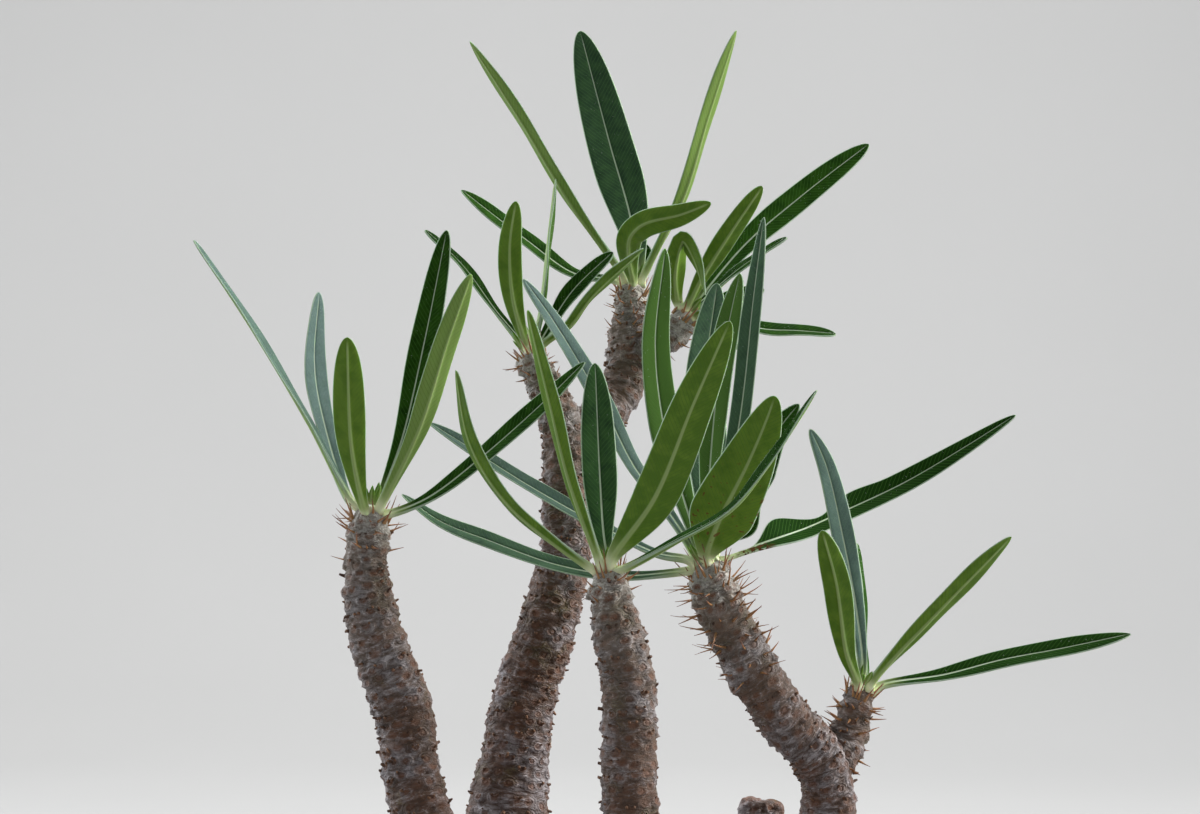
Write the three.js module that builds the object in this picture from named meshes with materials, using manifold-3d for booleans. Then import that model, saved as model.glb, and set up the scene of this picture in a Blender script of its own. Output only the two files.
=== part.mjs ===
// A Pachypodium gracilius in its pot: a squat swollen stem, four grey branches with spines and
// leaf scars, and seven crowns of narrow leaves. Millimetres, +Z up, the origin on the
// underside of the pot at its middle. The front of the plant looks along -Y.
import * as THREE from 'three';
import { mergeVertices } from 'three/addons/utils/BufferGeometryUtils.js';
import Module from 'manifold-3d';

const wasm = await Module();
wasm.setup();

// Driving sizes
const SIDES = 32; // facets round the pot, the soil and the swollen stem, so that they nest
const GAP = 0.3; // clearance between pieces that touch
const POT_FLOOR = 5.5;
const POT_WALL_FOOT = 43; // radius of the pot's inside where the wall leaves the floor
const POT_WALL_TOP = 62.5; // radius of the pot's inside at the soil
const DRAIN_HOLES = 4;
const DRAIN_RADIUS = 4.5;
const DRAIN_CIRCLE = 24;
const SOIL_LEVEL = 84;
const SOIL_RELIEF = 1.1;
const SOIL_RINGS = [0.12, 0.32, 0.52, 0.72, 0.9]; // shares of the way from the stem to the pot
const ROOT_CLEARANCE = 0.36; // between the buried root and its hole, which has flat facets
const BARK_SIDES = 12;
const BARK_PITCH = 3.4; // distance between the rows of knobs along a branch
const KNOB_RISE = 0.055; // height of a knob as a share of the branch's radius
const SPINE_RADIUS = 0.42;
const BLADE_EDGE = 0.3; // half the thickness of a leaf at its margin
const BLADE_STATIONS = [0, 0.1, 0.25, 0.42, 0.6, 0.77, 0.9, 0.97];
const FINE_STATIONS = [0, 0.08, 0.16, 0.23, 0.3, 0.38, 0.46, 0.55, 0.65, 0.76, 0.86, 0.93, 0.97];
const WAVE_FADE = 0.62; // share of a leaf's length past which its margins run smooth

// Heights and widths of branches and leaves were measured on a front view whose upright plane
// holds the pot's axis. EYE is the point it is seen from, so a point that lies further back is
// spread away from the line of sight by this one rule.
const EYE = new THREE.Vector3(-7, -667, 246.4);

function fromFront([x, z, y]) {
  const reach = (y - EYE.y) / -EYE.y;
  return new THREE.Vector3(
    EYE.x + (x - EYE.x) * reach,
    y,
    EYE.z + (z - EYE.z) * reach,
  );
}

// Seeded draw between 0 and 1, so that every build gives the same plant
function seeded(seed) {
  let state = seed;
  return () => {
    state = (state * 1664525 + 1013904223) % 4294967296;
    return state / 4294967296;
  };
}

// Closed solid from rings of points that all have the same number of points. Each end is
// closed by a fan, or by its single point where the first or last ring has only one.
function skin(rings) {
  const positions = [];
  const starts = rings.map((ring) => {
    const start = positions.length / 3;
    ring.forEach((p) => positions.push(p.x, p.y, p.z));
    return start;
  });
  const index = [];
  for (let k = 0; k + 1 < rings.length; k += 1) {
    const [a, b] = [rings[k], rings[k + 1]];
    const count = Math.max(a.length, b.length);
    for (let i = 0; i < count; i += 1) {
      const next = (i + 1) % count;
      const a0 = starts[k] + (a.length === 1 ? 0 : i);
      const a1 = starts[k] + (a.length === 1 ? 0 : next);
      const b0 = starts[k + 1] + (b.length === 1 ? 0 : i);
      const b1 = starts[k + 1] + (b.length === 1 ? 0 : next);
      if (a.length > 1) index.push(a0, a1, b1);
      if (b.length > 1) index.push(a0, b1, b0);
    }
  }
  const last = rings.length - 1;
  if (rings[0].length > 1) {
    for (let i = 1; i + 1 < rings[0].length; i += 1) index.push(0, i + 1, i);
  }
  if (rings[last].length > 1) {
    const s = starts[last];
    for (let i = 1; i + 1 < rings[last].length; i += 1) index.push(s, s + i, s + i + 1);
  }
  const geometry = new THREE.BufferGeometry();
  geometry.setAttribute('position', new THREE.Float32BufferAttribute(positions, 3));
  geometry.setIndex(index);
  return geometry;
}

function toSolid(geometry) {
  const bare = geometry.clone();
  bare.deleteAttribute('normal');
  bare.deleteAttribute('uv');
  const merged = mergeVertices(bare, 1e-4);
  return new wasm.Manifold(new wasm.Mesh({
    numProp: 3,
    vertProperties: new Float32Array(merged.attributes.position.array),
    triVerts: new Uint32Array(merged.index.array),
  }));
}

function toGeometry(solid) {
  const mesh = solid.getMesh();
  const geometry = new THREE.BufferGeometry();
  geometry.setAttribute('position', new THREE.Float32BufferAttribute(mesh.vertProperties, 3));
  geometry.setIndex(new THREE.BufferAttribute(mesh.triVerts, 1));
  geometry.computeVertexNormals();
  return geometry;
}

function joined(solids) {
  return solids.reduce((whole, next) => whole.add(next));
}

// A point at an angle and a radius round the pot's axis
function polar(radius, angle, z) {
  return new THREE.Vector3(radius * Math.cos(angle), radius * Math.sin(angle), z);
}

function ringAt(radiusOf, zOf) {
  return Array.from({ length: SIDES }, (_, i) => {
    const angle = (i / SIDES) * 2 * Math.PI;
    return polar(radiusOf(angle), angle, zOf(angle));
  });
}

// Pot: thrown and turned, with a rolled rim, a flat base, drainage holes round its middle
// and a rounded corner where its wall leaves its floor. Both lists hold [radius, height].
const POT_INSIDE = [
  [POT_WALL_TOP, 80], [54.2, 44], [POT_WALL_FOOT + 2.5, 11], [POT_WALL_FOOT, 7.2],
  [POT_WALL_FOOT - 3, POT_FLOOR],
];
const POT_PROFILE = [
  [0, 0], [46, 0], [48.2, 1.4], [49, 4], [58, 42], [66.5, 77], [69.2, 78.2], [70.8, 81],
  [70.8, 84.5], [69.2, 87.4], [66.5, 88.5], [64.2, 87.2], [63.4, 84.6],
  ...POT_INSIDE, [0, POT_FLOOR],
];

function makePot() {
  const rings = POT_PROFILE.map(([radius, z]) => (
    radius === 0 ? [new THREE.Vector3(0, 0, z)] : ringAt(() => radius, () => z)
  ));
  let pot = toSolid(skin(rings));
  for (let i = 0; i < DRAIN_HOLES; i += 1) {
    const angle = ((i + 0.5) / DRAIN_HOLES) * 2 * Math.PI;
    const drill = new THREE.CylinderGeometry(DRAIN_RADIUS, DRAIN_RADIUS, 4 * POT_FLOOR, 12);
    drill.rotateX(Math.PI / 2);
    drill.translate(DRAIN_CIRCLE * Math.cos(angle), DRAIN_CIRCLE * Math.sin(angle), 0);
    pot = pot.subtract(toSolid(drill));
  }
  return toGeometry(pot);
}

// Swollen stem: [radius, height] from the tip of the buried root to the crown between branches
const BURIED_PROFILE = [[8, 47.5], [19, 53], [29, 61], [37, 71], [43, SOIL_LEVEL]];
const STEM_PROFILE = [
  [46.6, 94], [48, 104], [47, 114], [43.4, 123], [37.4, 131], [29, 137.4], [17, 142],
];
const ROOT_TIP = 45.5;
const STEM_TOP = 143.6;

const STEM_HEART = new THREE.Vector3(0, 0, 104); // the shoulders swell away from here
const SHOULDER_RISE = 10;
const SHOULDER_SPREAD = 0.085; // of one minus the cosine of the angle from a branch's foot

// The stem isn't quite round: a few soft waves run round it, as [height, count, start]
const STEM_WAVES = [[0.04, 3, 0.8], [0.02, 5, -1.1]];

function stemSwell(angle) {
  return STEM_WAVES.reduce((sum, [height, count, start]) => (
    sum + height * Math.sin(count * angle + start)
  ), 1);
}

// The stem swells into a shoulder round the foot of each branch
function shouldered(point, feet) {
  if (point.z <= SOIL_LEVEL) return point;
  const out = point.clone().sub(STEM_HEART).normalize();
  const rise = feet.reduce((sum, foot) => (
    sum + SHOULDER_RISE * Math.exp((foot.dot(out) - 1) / SHOULDER_SPREAD)
  ), 0);
  return point.clone().addScaledVector(out, rise);
}

function makeStem(feet) {
  const rings = [...BURIED_PROFILE, ...STEM_PROFILE].map(([radius, z]) => (
    ringAt((angle) => radius * stemSwell(angle), () => z).map((p) => shouldered(p, feet))
  ));
  rings.unshift([new THREE.Vector3(0, 0, ROOT_TIP)]);
  rings.push([shouldered(new THREE.Vector3(0, 0, STEM_TOP), feet)]);
  return toSolid(skin(rings));
}

// Soil: fills the pot to the root, which stands in a plain hole, with a gritty, uneven top
function makeSoil() {
  const draw = seeded(11);
  const rings = [[new THREE.Vector3(0, 0, ROOT_TIP - GAP)]];
  BURIED_PROFILE.forEach(([radius, z]) => rings.push(ringAt(
    (angle) => radius * stemSwell(angle) + ROOT_CLEARANCE,
    () => z - ROOT_CLEARANCE / 2,
  )));
  const [mouth] = BURIED_PROFILE[BURIED_PROFILE.length - 1];
  const brim = POT_WALL_TOP - GAP;
  SOIL_RINGS.forEach((share) => rings.push(ringAt(
    (angle) => THREE.MathUtils.lerp(mouth * stemSwell(angle), brim, share),
    () => SOIL_LEVEL + THREE.MathUtils.lerp(-SOIL_RELIEF, SOIL_RELIEF, draw()),
  )));
  POT_INSIDE.forEach(([radius, z]) => {
    const height = Math.max(z, POT_FLOOR + GAP);
    rings.push(ringAt(() => radius - GAP, () => height));
  });
  rings.push([new THREE.Vector3(0, 0, POT_FLOOR + GAP)]);
  return toGeometry(toSolid(skin(rings.reverse())));
}

// Branches: [x, z, y, width] of the middle line as measured from the front, base first
const BRANCHES = {
  left: [
    [-20, 116, -5, 16], [-31, 134, -6, 20], [-38, 150, -5, 14.5], [-43.4, 167.8, -4, 12],
    [-45.2, 175.8, -3, 11.6], [-46, 183.8, -2, 11.8], [-48.6, 191.8, -2, 11.8],
    [-51.6, 199.8, -2, 11.4],
    [-53.3, 207.8, -2, 10], [-53.9, 214, -2, 8.6], [-53.5, 219.8, -2, 8.4],
    [-52.8, 224, -2, 7.6],
  ],
  rear: [
    [-11, 108, 7, 14], [-20.5, 131, 15.5, 25], [-26, 150, 21, 21], [-25.2, 167.8, 23, 16],
    [-24, 175.8, 24, 14], [-23, 183.8, 25, 13.2], [-21.1, 191.8, 26, 12.4],
    [-18.4, 199.8, 26, 12.2],
    [-16.2, 207.8, 27, 11.4], [-14.2, 215.8, 28, 10.2], [-14.2, 231.8, 29, 9],
    [-14.2, 241, 30, 8.8], [-16.4, 247, 30, 7.6], [-18.9, 252.4, 30, 6.6],
    [-20.6, 256, 30, 6],
  ],
  rearTop: [
    [-14, 233, 30, 8], [-11, 240.4, 33, 8.6], [-6, 245, 38, 8.6], [-2.8, 250, 42, 8.4],
    [-1.8, 258, 45, 7.8], [-1.2, 264, 47, 6.8], [-0.7, 269.2, 48, 6.2],
  ],
  rearSide: [[-2, 254, 44, 5.4], [3, 258.4, 43, 6], [7.6, 261, 42, 6], [9.8, 264, 42, 5.8]],
  middle: [
    [0, 116, -12, 16], [0, 133, -20, 20], [-0.4, 150, -23, 14], [-1, 167.8, -24, 11.2],
    [-1.2, 179.8, -24, 11.2], [-1.4, 191.8, -24, 10.8], [-3, 199.8, -24, 10.4],
    [-4.8, 207.8, -23, 8.4],
    [-5.4, 212, -22, 7.4],
  ],
  right: [
    [19, 114, 2, 16], [30, 132, 2, 20], [36.4, 150, 2, 13.6], [38.8, 167.8, 1, 10.8],
    [36.8, 176, 0, 10.8], [31, 182.6, -3, 10.6], [27.2, 188, -5, 10.6], [22.6, 195.4, -6, 10.8],
    [18.8, 202.8, -7, 10.2], [17, 206.4, -8, 9.8], [15.6, 210.4, -8, 9], [14.7, 213, -8, 8.2],
  ],
  farRight: [
    [38, 170, 2, 7], [41, 176.6, 3, 8.2], [42.8, 181, 4, 7.4], [43.8, 185.4, 4, 6.8],
    [45, 188.6, 4, 6.4],
  ],
  stub: [
    [13, 116, 11, 10], [20, 134, 19, 12], [24, 150, 24, 8], [25.2, 161, 27, 6.4],
    [25, 167, 28, 6.6],
  ],
};

const FOOTED = ['left', 'rear', 'middle', 'right', 'stub']; // these stand on the swollen stem

// The middle line of a branch, its radius at any place, and a frame across it
function branchLine(rows) {
  const points = rows.map(fromFront);
  const curve = new THREE.CatmullRomCurve3(points, false, 'centripetal');
  const radii = rows.map(([, , y, width]) => (width / 2) * ((y - EYE.y) / -EYE.y));
  return {
    length: curve.getLength(),
    at(share) {
      const t = curve.getUtoTmapping(share);
      const place = t * (radii.length - 1);
      const k = Math.min(Math.floor(place), radii.length - 2);
      const along = curve.getTangent(t);
      const across = new THREE.Vector3(1, 0, 0).addScaledVector(along, -along.x).normalize();
      return {
        point: curve.getPoint(t),
        radius: THREE.MathUtils.lerp(radii[k], radii[k + 1], place - k),
        along,
        across,
        deep: new THREE.Vector3().crossVectors(along, across),
      };
    },
  };
}

// Knobbly tube: neighbouring corners stand out and lie back in turn, row by row, as the
// leaf-scar pads of the bark do
function makeBranch(rows) {
  const line = branchLine(rows);
  const count = Math.round(line.length / BARK_PITCH);
  const rings = [];
  for (let row = 0; row <= count; row += 1) {
    const { point, radius, across, deep } = line.at(row / count);
    rings.push(Array.from({ length: BARK_SIDES }, (_, i) => {
      const angle = (i / BARK_SIDES) * 2 * Math.PI;
      const knob = (row + i) % 2 ? KNOB_RISE : -KNOB_RISE;
      const reach = radius * (1 + (row === count ? 0 : knob));
      return point.clone()
        .addScaledVector(across, reach * Math.cos(angle))
        .addScaledVector(deep, reach * Math.sin(angle));
    }));
  }
  return toSolid(skin(rings));
}

// Spines stand in pairs on the pads, turned by the golden angle from one pad to the next.
// Near a crown they are long, and further down they are worn to stubs.
const GOLDEN_ANGLE = 2.39996;
const SPINES = {
  left: { fresh: 9, long: 3.4, stub: 1.3, pads: 20 },
  rear: { fresh: 6, long: 2.6, stub: 1.2, pads: 22 },
  rearTop: { fresh: 14, long: 3, stub: 1.4, pads: 12 },
  rearSide: { fresh: 10, long: 3.2, stub: 1.4, pads: 5 },
  middle: { fresh: 4, long: 2.4, stub: 1.2, pads: 18 },
  right: { fresh: 30, long: 4.6, stub: 1.6, pads: 26 },
  farRight: { fresh: 20, long: 4, stub: 1.6, pads: 9 },
};
const SPINE_START = 0.3; // share of a branch's length below which the bark is worn smooth
const SPINE_END = 0.985;
const SPINE_SUNK = 1.2; // how deep a spine's root lies in the bark
const SPINE_WEAR = 0.35; // how much shorter the lowest long spines are than the top ones
const PAIR_SPREAD = 0.26; // angle from the middle of a pad to each of its two spines
const WORN_FOOT = 1.25; // radius of a worn spine's foot as a share of a long one's
const WORN_TOP = 0.6; // radius of a worn spine's top as a share of its foot's

function makeSpines(rows, { fresh, long, stub, pads }, seed) {
  const line = branchLine(rows);
  const draw = seeded(seed);
  const solids = [];
  for (let pad = 0; pad < pads; pad += 1) {
    const share = THREE.MathUtils.lerp(SPINE_START, SPINE_END, (pad + 0.5) / pads);
    const { point, radius, along, across, deep } = line.at(share);
    const below = (1 - share) * line.length;
    const worn = below > fresh;
    (worn ? [0] : [-PAIR_SPREAD, PAIR_SPREAD]).forEach((spread) => {
      const angle = pad * GOLDEN_ANGLE + spread;
      const reach = worn
        ? stub
        : long * THREE.MathUtils.lerp(0.75, 1.25, draw()) * (1 - (SPINE_WEAR * below) / fresh);
      const out = across.clone().multiplyScalar(Math.cos(angle))
        .addScaledVector(deep, Math.sin(angle));
      const lean = out.clone()
        .addScaledVector(along, THREE.MathUtils.lerp(0.1, 0.45, draw()))
        .normalize();
      const foot = worn ? SPINE_RADIUS * WORN_FOOT : SPINE_RADIUS;
      const spine = worn
        ? new THREE.CylinderGeometry(foot * WORN_TOP, foot, reach + SPINE_SUNK, 3)
        : new THREE.ConeGeometry(foot, reach + SPINE_SUNK, 3);
      spine.translate(0, (reach - SPINE_SUNK) / 2, 0);
      spine.applyQuaternion(
        new THREE.Quaternion().setFromUnitVectors(new THREE.Vector3(0, 1, 0), lean),
      );
      const root = point.clone().addScaledVector(out, radius * (1 - KNOB_RISE));
      spine.translate(root.x, root.y, root.z);
      solids.push(toSolid(spine));
    });
  }
  return solids;
}

// The stub's dry end has two worn knobs
const STUB_KNOBS = [[23.2, 166.2, 28, 2.6], [27.2, 165.8, 28, 2.5]];

function makeStubKnobs() {
  return STUB_KNOBS.map(([x, z, y, radius]) => {
    const knob = new THREE.IcosahedronGeometry(radius, 1);
    const { x: px, y: py, z: pz } = fromFront([x, z, y]);
    knob.translate(px, py, pz);
    return toSolid(knob);
  });
}

// Crowns. Each leaf: line is [x, z, y] from its foot to its tip as measured from the front.
// width is the blade's full width and turn the angle in degrees between the way its upper
// face looks and the front: 0 shows the whole upper face, 180 the whole under face.
// turnEnd is the same at the tip of a twisted leaf. peak is where it is widest, taper how
// blunt its end is, fold how far its halves are folded up, and wave the in-and-out of its left
// and right margins and their count. A bent or waved leaf is fine: it has more stations.
const CROWNS = {
  left: {
    branch: 'left',
    leaves: [
      { line: [[-56.6, 227.8, -2], [-64.8, 242.8, 0], [-76.4, 262, 2], [-88.2, 279.8, 4]],
        width: 5, turn: 76 },
      { line: [[-57, 227.6, 0], [-62.8, 245.6, 4], [-64.2, 255.6, 8], [-63.2, 269.4, 12]],
        width: 5.6, turn: 38 },
      { line: [[-53.8, 225.4, -5], [-56.6, 237.8, -12], [-57.6, 260.4, -22]],
        width: 6.4, turn: 176 },
      { line: [[-50.8, 228, 0], [-46.6, 239.8, 4], [-42, 259.8, 9], [-37.6, 281.8, 14]],
        width: 6, turn: -22 },
      { line: [[-51, 226.4, -4], [-43.4, 241.8, -8], [-37.4, 260.2, -12], [-32.8, 273, -15]],
        width: 5.6, turn: -152 },
      { line: [[-49.6, 225, -3], [-42, 227.8, -4], [-30.8, 236.2, -6], [-18.6, 247, -8],
        [-10, 255.4, -8]], width: 5, turn: -42 },
    ],
  },
  middle: {
    branch: 'middle',
    leaves: [
      { line: [[-8.4, 214, -23], [-24.6, 226.4, -26], [-32.6, 238.6, -27], [-35.8, 253.8, -28]],
        width: 4.6, turn: 124 },
      { line: [[-7.4, 216.4, -24], [-13, 231.8, -28], [-17.2, 248.6, -30],
        [-21.4, 265.8, -32]], width: 4.6, turn: 132 },
      { line: [[-6, 218.8, -21], [-7, 231.8, -16], [-8, 255.2, -8]], width: 7, turn: 8,
        peak: 0.5, fold: 0.12 },
      { line: [[-4.6, 216, -25], [3.8, 228, -33], [11.6, 246.8, -44], [19, 263.6, -52]],
        width: 8.8, turn: -176, peak: 0.38, fold: 0.12 },
      { line: [[-2.4, 214.2, -25], [8.8, 220, -28], [19.2, 226, -31], [26.2, 234.4, -35],
        [36.4, 249.8, -39]], width: 4.6, turn: -74, fold: 0.3 },
    ],
  },
  right: {
    branch: 'right',
    leaves: [
      { line: [[11.4, 217.8, -6], [6, 226.2, -3], [-0.2, 234.4, 0], [-7, 247.8, 3],
        [-16.4, 263.6, 6], [-22.4, 272, 8]], width: 5.2, turn: 40 },
      { line: [[11.4, 222.4, -6], [8.4, 232.4, -3], [5.6, 243.2, 0], [4, 259.2, 4],
        [6, 278.2, 7]], width: 7, turn: 26, peak: 0.46 },
      { line: [[14.6, 217, -6], [16.2, 247.8, 6], [19, 264, 9], [21, 273.2, 12]],
        width: 6, turn: -22 },
      { line: [[16, 217.4, -7], [20.6, 241.2, -4], [22, 251.2, -2], [23.6, 266.8, 0],
        [25.8, 284.4, 2]], width: 5, turn: -32, peak: 0.48 },
      { line: [[14.8, 217, -5], [14.6, 231, 4], [14, 251.8, 14], [16.4, 271.2, 22]],
        width: 8.6, turn: 8, peak: 0.5, fold: 0.12 },
      { line: [[14.4, 216.4, -11], [16, 221.8, -15], [22.6, 235.2, -27],
        [26.2, 243.6, -33], [28, 248.6, -36]], width: 12.8, turn: -178, peak: 0.3,
        fold: 0.08, taper: 1.5, fine: true },
      { line: [[17.4, 216, -8], [26, 219.2, -4], [34.4, 222.2, 4], [42, 225.6, 10],
        [54.2, 231.4, 14], [66.4, 238.6, 15], [76.2, 244.8, 15]], width: 5.8, turn: -34,
        peak: 0.4, wave: [1.5, 0.1, 3.3], fine: true },
      { line: [[16, 217, -9], [20, 221.4, -10], [23.4, 227, -12], [25.8, 234, -14],
        [28.8, 241.8, -16], [32.8, 247, -18]], width: 5.6, turn: -20, peak: 0.5,
        wave: [0.1, 1.2, 2.66], fine: true },
      { line: [[11, 215.6, -9], [4.4, 217, -10], [-7, 222.6, -9], [-21.6, 230.8, -5],
        [-33.8, 238.6, 0], [-41.4, 243.4, 3]], width: 4.8, turn: 52, fold: 0.35 },
      { line: [[10.4, 213.6, -9], [-1.8, 212.6, -8], [-15, 214.6, -5], [-29.2, 219.6, 0],
        [-39.2, 223.6, 4], [-46.6, 229, 7]], width: 4.8, turn: 48 },
    ],
  },
  farRight: {
    branch: 'farRight',
    leaves: [
      { line: [[45.2, 192.6, 4], [44.4, 204.6, 2], [41.4, 221, -1], [38.2, 234.6, -3],
        [35, 242, -4]], width: 5, turn: 24 },
      { line: [[44.4, 191.6, 1], [42.4, 197, -3], [40.2, 211.6, -11], [37.4, 221.8, -16]],
        width: 5.6, turn: 176 },
      { line: [[46.2, 192.6, 5], [45.9, 199, 7], [45.4, 211.6, 9], [44.4, 219.2, 10]],
        width: 4, turn: 78 },
      { line: [[47.4, 191.4, 3], [58.8, 203.8, -4], [67.4, 212.6, -9], [75.2, 220.6, -14]],
        width: 4.8, turn: -138 },
      { line: [[49, 190.6, 4], [61.8, 192.8, 6], [73.4, 195.8, 8], [85, 198, 9],
        [99.2, 201, 10]], width: 5.2, turn: -42 },
    ],
  },
  rearLeft: {
    branch: 'rear',
    leaves: [
      { line: [[-21.8, 259, 28], [-24.4, 268.2, 21], [-25, 278.6, 15], [-23.8, 287.6, 11]],
        width: 5, turn: 174 },
      { line: [[-22.4, 258.6, 31], [-28, 265.8, 33], [-34.8, 275, 36], [-42, 281.8, 38]],
        width: 4.4, turn: 64 },
      { line: [[-20, 259, 32], [-18.8, 264, 33], [-17.4, 277.4, 37], [-15.8, 292, 40]],
        width: 4, turn: 82 },
      { line: [[-18.8, 259.4, 31], [-12.6, 269.4, 33], [-4.4, 277.4, 34]], width: 4.8,
        turn: -40 },
      { line: [[-18, 259.4, 29], [-13.4, 262.6, 26], [-8.8, 268.6, 22], [1.6, 278.2, 15]],
        width: 4, turn: -122 },
    ],
  },
  rearTop: {
    branch: 'rearTop',
    leaves: [
      { line: [[-2, 272, 47], [-12.2, 286.4, 43], [-23, 304.2, 39], [-33, 319.6, 36]],
        width: 4.8, turn: 124 },
      { line: [[0.8, 273, 49], [-1, 284.6, 55], [-5, 298.8, 62], [-11, 321.6, 70]],
        width: 10.4, turn: 10, peak: 0.46, fold: 0.12 },
      { line: [[1.4, 272, 48], [9.8, 289.2, 46], [14.4, 304.2, 45], [20.2, 321.8, 44]],
        width: 5, turn: -126 },
      { line: [[-0.4, 271.4, 45], [-1.2, 276, 39], [-0.9, 280.4, 34], [2, 283, 31],
        [9, 284.8, 29], [15.2, 287.2, 29]], width: 5.8, turn: 180, peak: 0.5,
        fine: true },
      { line: [[-3.4, 271.6, 48], [-12, 273, 50], [-21.8, 279.8, 53], [-34.8, 289.8, 56]],
        width: 5.2, turn: 50 },
      { line: [[1, 272, 50], [1.9, 275.4, 51], [2, 279, 52]], width: 3.6, turn: 8 },
    ],
  },
  rearSide: {
    branch: 'rearSide',
    leaves: [
      { line: [[8.4, 268, 41], [8, 273.8, 36], [9.6, 279.6, 33], [12, 276, 31],
        [14.2, 268.8, 30]], width: 5.2, turn: 176, turnEnd: 262, peak: 0.36, fine: true },
      { line: [[10, 266, 41], [13.4, 272.4, 37], [19.4, 281.8, 31], [25.4, 290.6, 27]],
        width: 4.8, turn: -160 },
      { line: [[12, 266.6, 43], [21.8, 278.6, 50], [33.6, 288.8, 57], [46.8, 299, 63]],
        width: 6.2, turn: -18 },
      { line: [[12, 265.6, 42], [19.6, 273, 41], [30.4, 280.4, 40]], width: 3.8, turn: -66 },
      { line: [[13.8, 265, 42], [25.4, 262, 44], [32.6, 261.6, 45], [40.2, 261, 46]],
        width: 4.8, turn: -56 },
      { line: [[12.8, 265, 40], [16, 262.4, 38], [20.6, 258, 37]], width: 4.4, turn: -130 },
      { line: [[12, 264.8, 44], [18, 267.4, 48], [25.8, 270, 52]], width: 4.6, turn: -30 },
    ],
  },
};

const PEAK = 0.6; // share of a leaf's length at which it is widest
const FOLD = 0.2;
const TAPER = 2.3; // the higher it is, the blunter the leaf's end
const STALK = 0.7; // half the width of a leaf's stalk
const STALK_SHARE = 0.3; // share of a leaf's length over which its stalk thins into the blade
const GROOVE = 0.22; // height of the sunken middle of the upper face
const RIB = 0.55; // depth of the raised rib of the under face
const STALK_EXTRA = { edge: 0.25, groove: 0.2, rib: 0.35 }; // what the stalk adds at its foot
const SWELL_POWER = 1.35; // the higher it is, the slimmer the leaf's lower half
const TIP_POWER = 0.62; // the lower it is, the rounder the leaf's tip

// Half the blade's width at a share of its length: a slim stalk that widens to the peak in
// a quarter wave, then a long oval to a blunt tip
function halfWidth(share, width, peak, taper) {
  const full = width / 2;
  if (share < peak) {
    const rise = Math.sin((share / peak) * (Math.PI / 2)) ** SWELL_POWER;
    return STALK + (full - STALK) * rise;
  }
  const beyond = (share - peak) / (1 - peak);
  return full * (1 - beyond ** taper) ** TIP_POWER;
}

// One leaf: six corners at each station, with a sunken middle above, a raised rib below and
// margins that are folded up towards the upper face
function makeLeaf(root, leaf) {
  const { line, width, turn, turnEnd = turn, peak = PEAK, fold = FOLD, taper = TAPER } = leaf;
  const [waveLeft, waveRight, waves] = leaf.wave ?? [0, 0, 0];
  const points = [root, ...line.map(fromFront)];
  const curve = new THREE.CatmullRomCurve3(points, false, 'centripetal');
  const rings = (leaf.fine ? FINE_STATIONS : BLADE_STATIONS).map((share) => {
    const point = curve.getPointAt(share);
    const along = curve.getTangentAt(share);
    const front = EYE.clone().sub(point);
    front.addScaledVector(along, -front.dot(along)).normalize();
    const side = new THREE.Vector3().crossVectors(along, front);
    const angle = THREE.MathUtils.degToRad(THREE.MathUtils.lerp(turn, turnEnd, share));
    const up = front.multiplyScalar(Math.cos(angle)).addScaledVector(side, Math.sin(angle));
    const right = new THREE.Vector3().crossVectors(along, up);
    const half = halfWidth(share, width, peak, taper);
    const stalky = Math.max(0, 1 - share / STALK_SHARE);
    const edge = BLADE_EDGE + STALK_EXTRA.edge * stalky;
    const groove = GROOVE + STALK_EXTRA.groove * stalky;
    const rib = RIB + STALK_EXTRA.rib * stalky;
    const lift = fold * (half - STALK);
    const ripple = Math.sin(share * waves * 2 * Math.PI) * Math.max(0, 1 - share / WAVE_FADE);
    const reachLeft = half * (1 - waveLeft * ripple);
    const reachRight = half * (1 - waveRight * ripple);
    const corner = (across, height) => point.clone()
      .addScaledVector(right, across).addScaledVector(up, height);
    return [
      corner(-reachLeft, lift + edge), corner(0, groove),
      corner(reachRight, lift + edge), corner(reachRight, lift - edge),
      corner(0, -rib), corner(-reachLeft, lift - edge),
    ];
  });
  rings.push([points[points.length - 1].clone()]);
  return toSolid(skin(rings));
}

// The green shoot tip that the leaves of a crown grow from: a low dome seated on its branch
const DOME_SHARE = 0.86; // radius of the dome as a share of the branch's end
const DOME_SIDES = 10;
const DOME_STEPS = [[1, 0], [1, 0.25], [0.82, 0.62], [0.45, 0.86]]; // [radius, height] as shares
const DOME_TOP = 0.92;

function makeDome(end) {
  const radius = end.radius * DOME_SHARE;
  const rings = DOME_STEPS.map(([share, height]) => (
    Array.from({ length: DOME_SIDES }, (_, i) => {
      const angle = (i / DOME_SIDES) * 2 * Math.PI;
      return end.point.clone()
        .addScaledVector(end.along, GAP + height * radius)
        .addScaledVector(end.across, radius * share * Math.cos(angle))
        .addScaledVector(end.deep, radius * share * Math.sin(angle));
    })
  ));
  rings.push([end.point.clone().addScaledVector(end.along, GAP + DOME_TOP * radius)]);
  return toSolid(skin(rings));
}

const LEAF_ROOT = 0.6; // height of the leaves' roots over the branch's end, as a share of its radius

function makeCrown({ branch, leaves }) {
  const end = branchLine(BRANCHES[branch]).at(1);
  const root = end.point.clone().addScaledVector(end.along, GAP + LEAF_ROOT * end.radius);
  return joined([makeDome(end), ...leaves.map((leaf) => makeLeaf(root, leaf))]);
}

const crowns = Object.entries(CROWNS).map(([name, crown]) => [name, makeCrown(crown)]);

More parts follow.
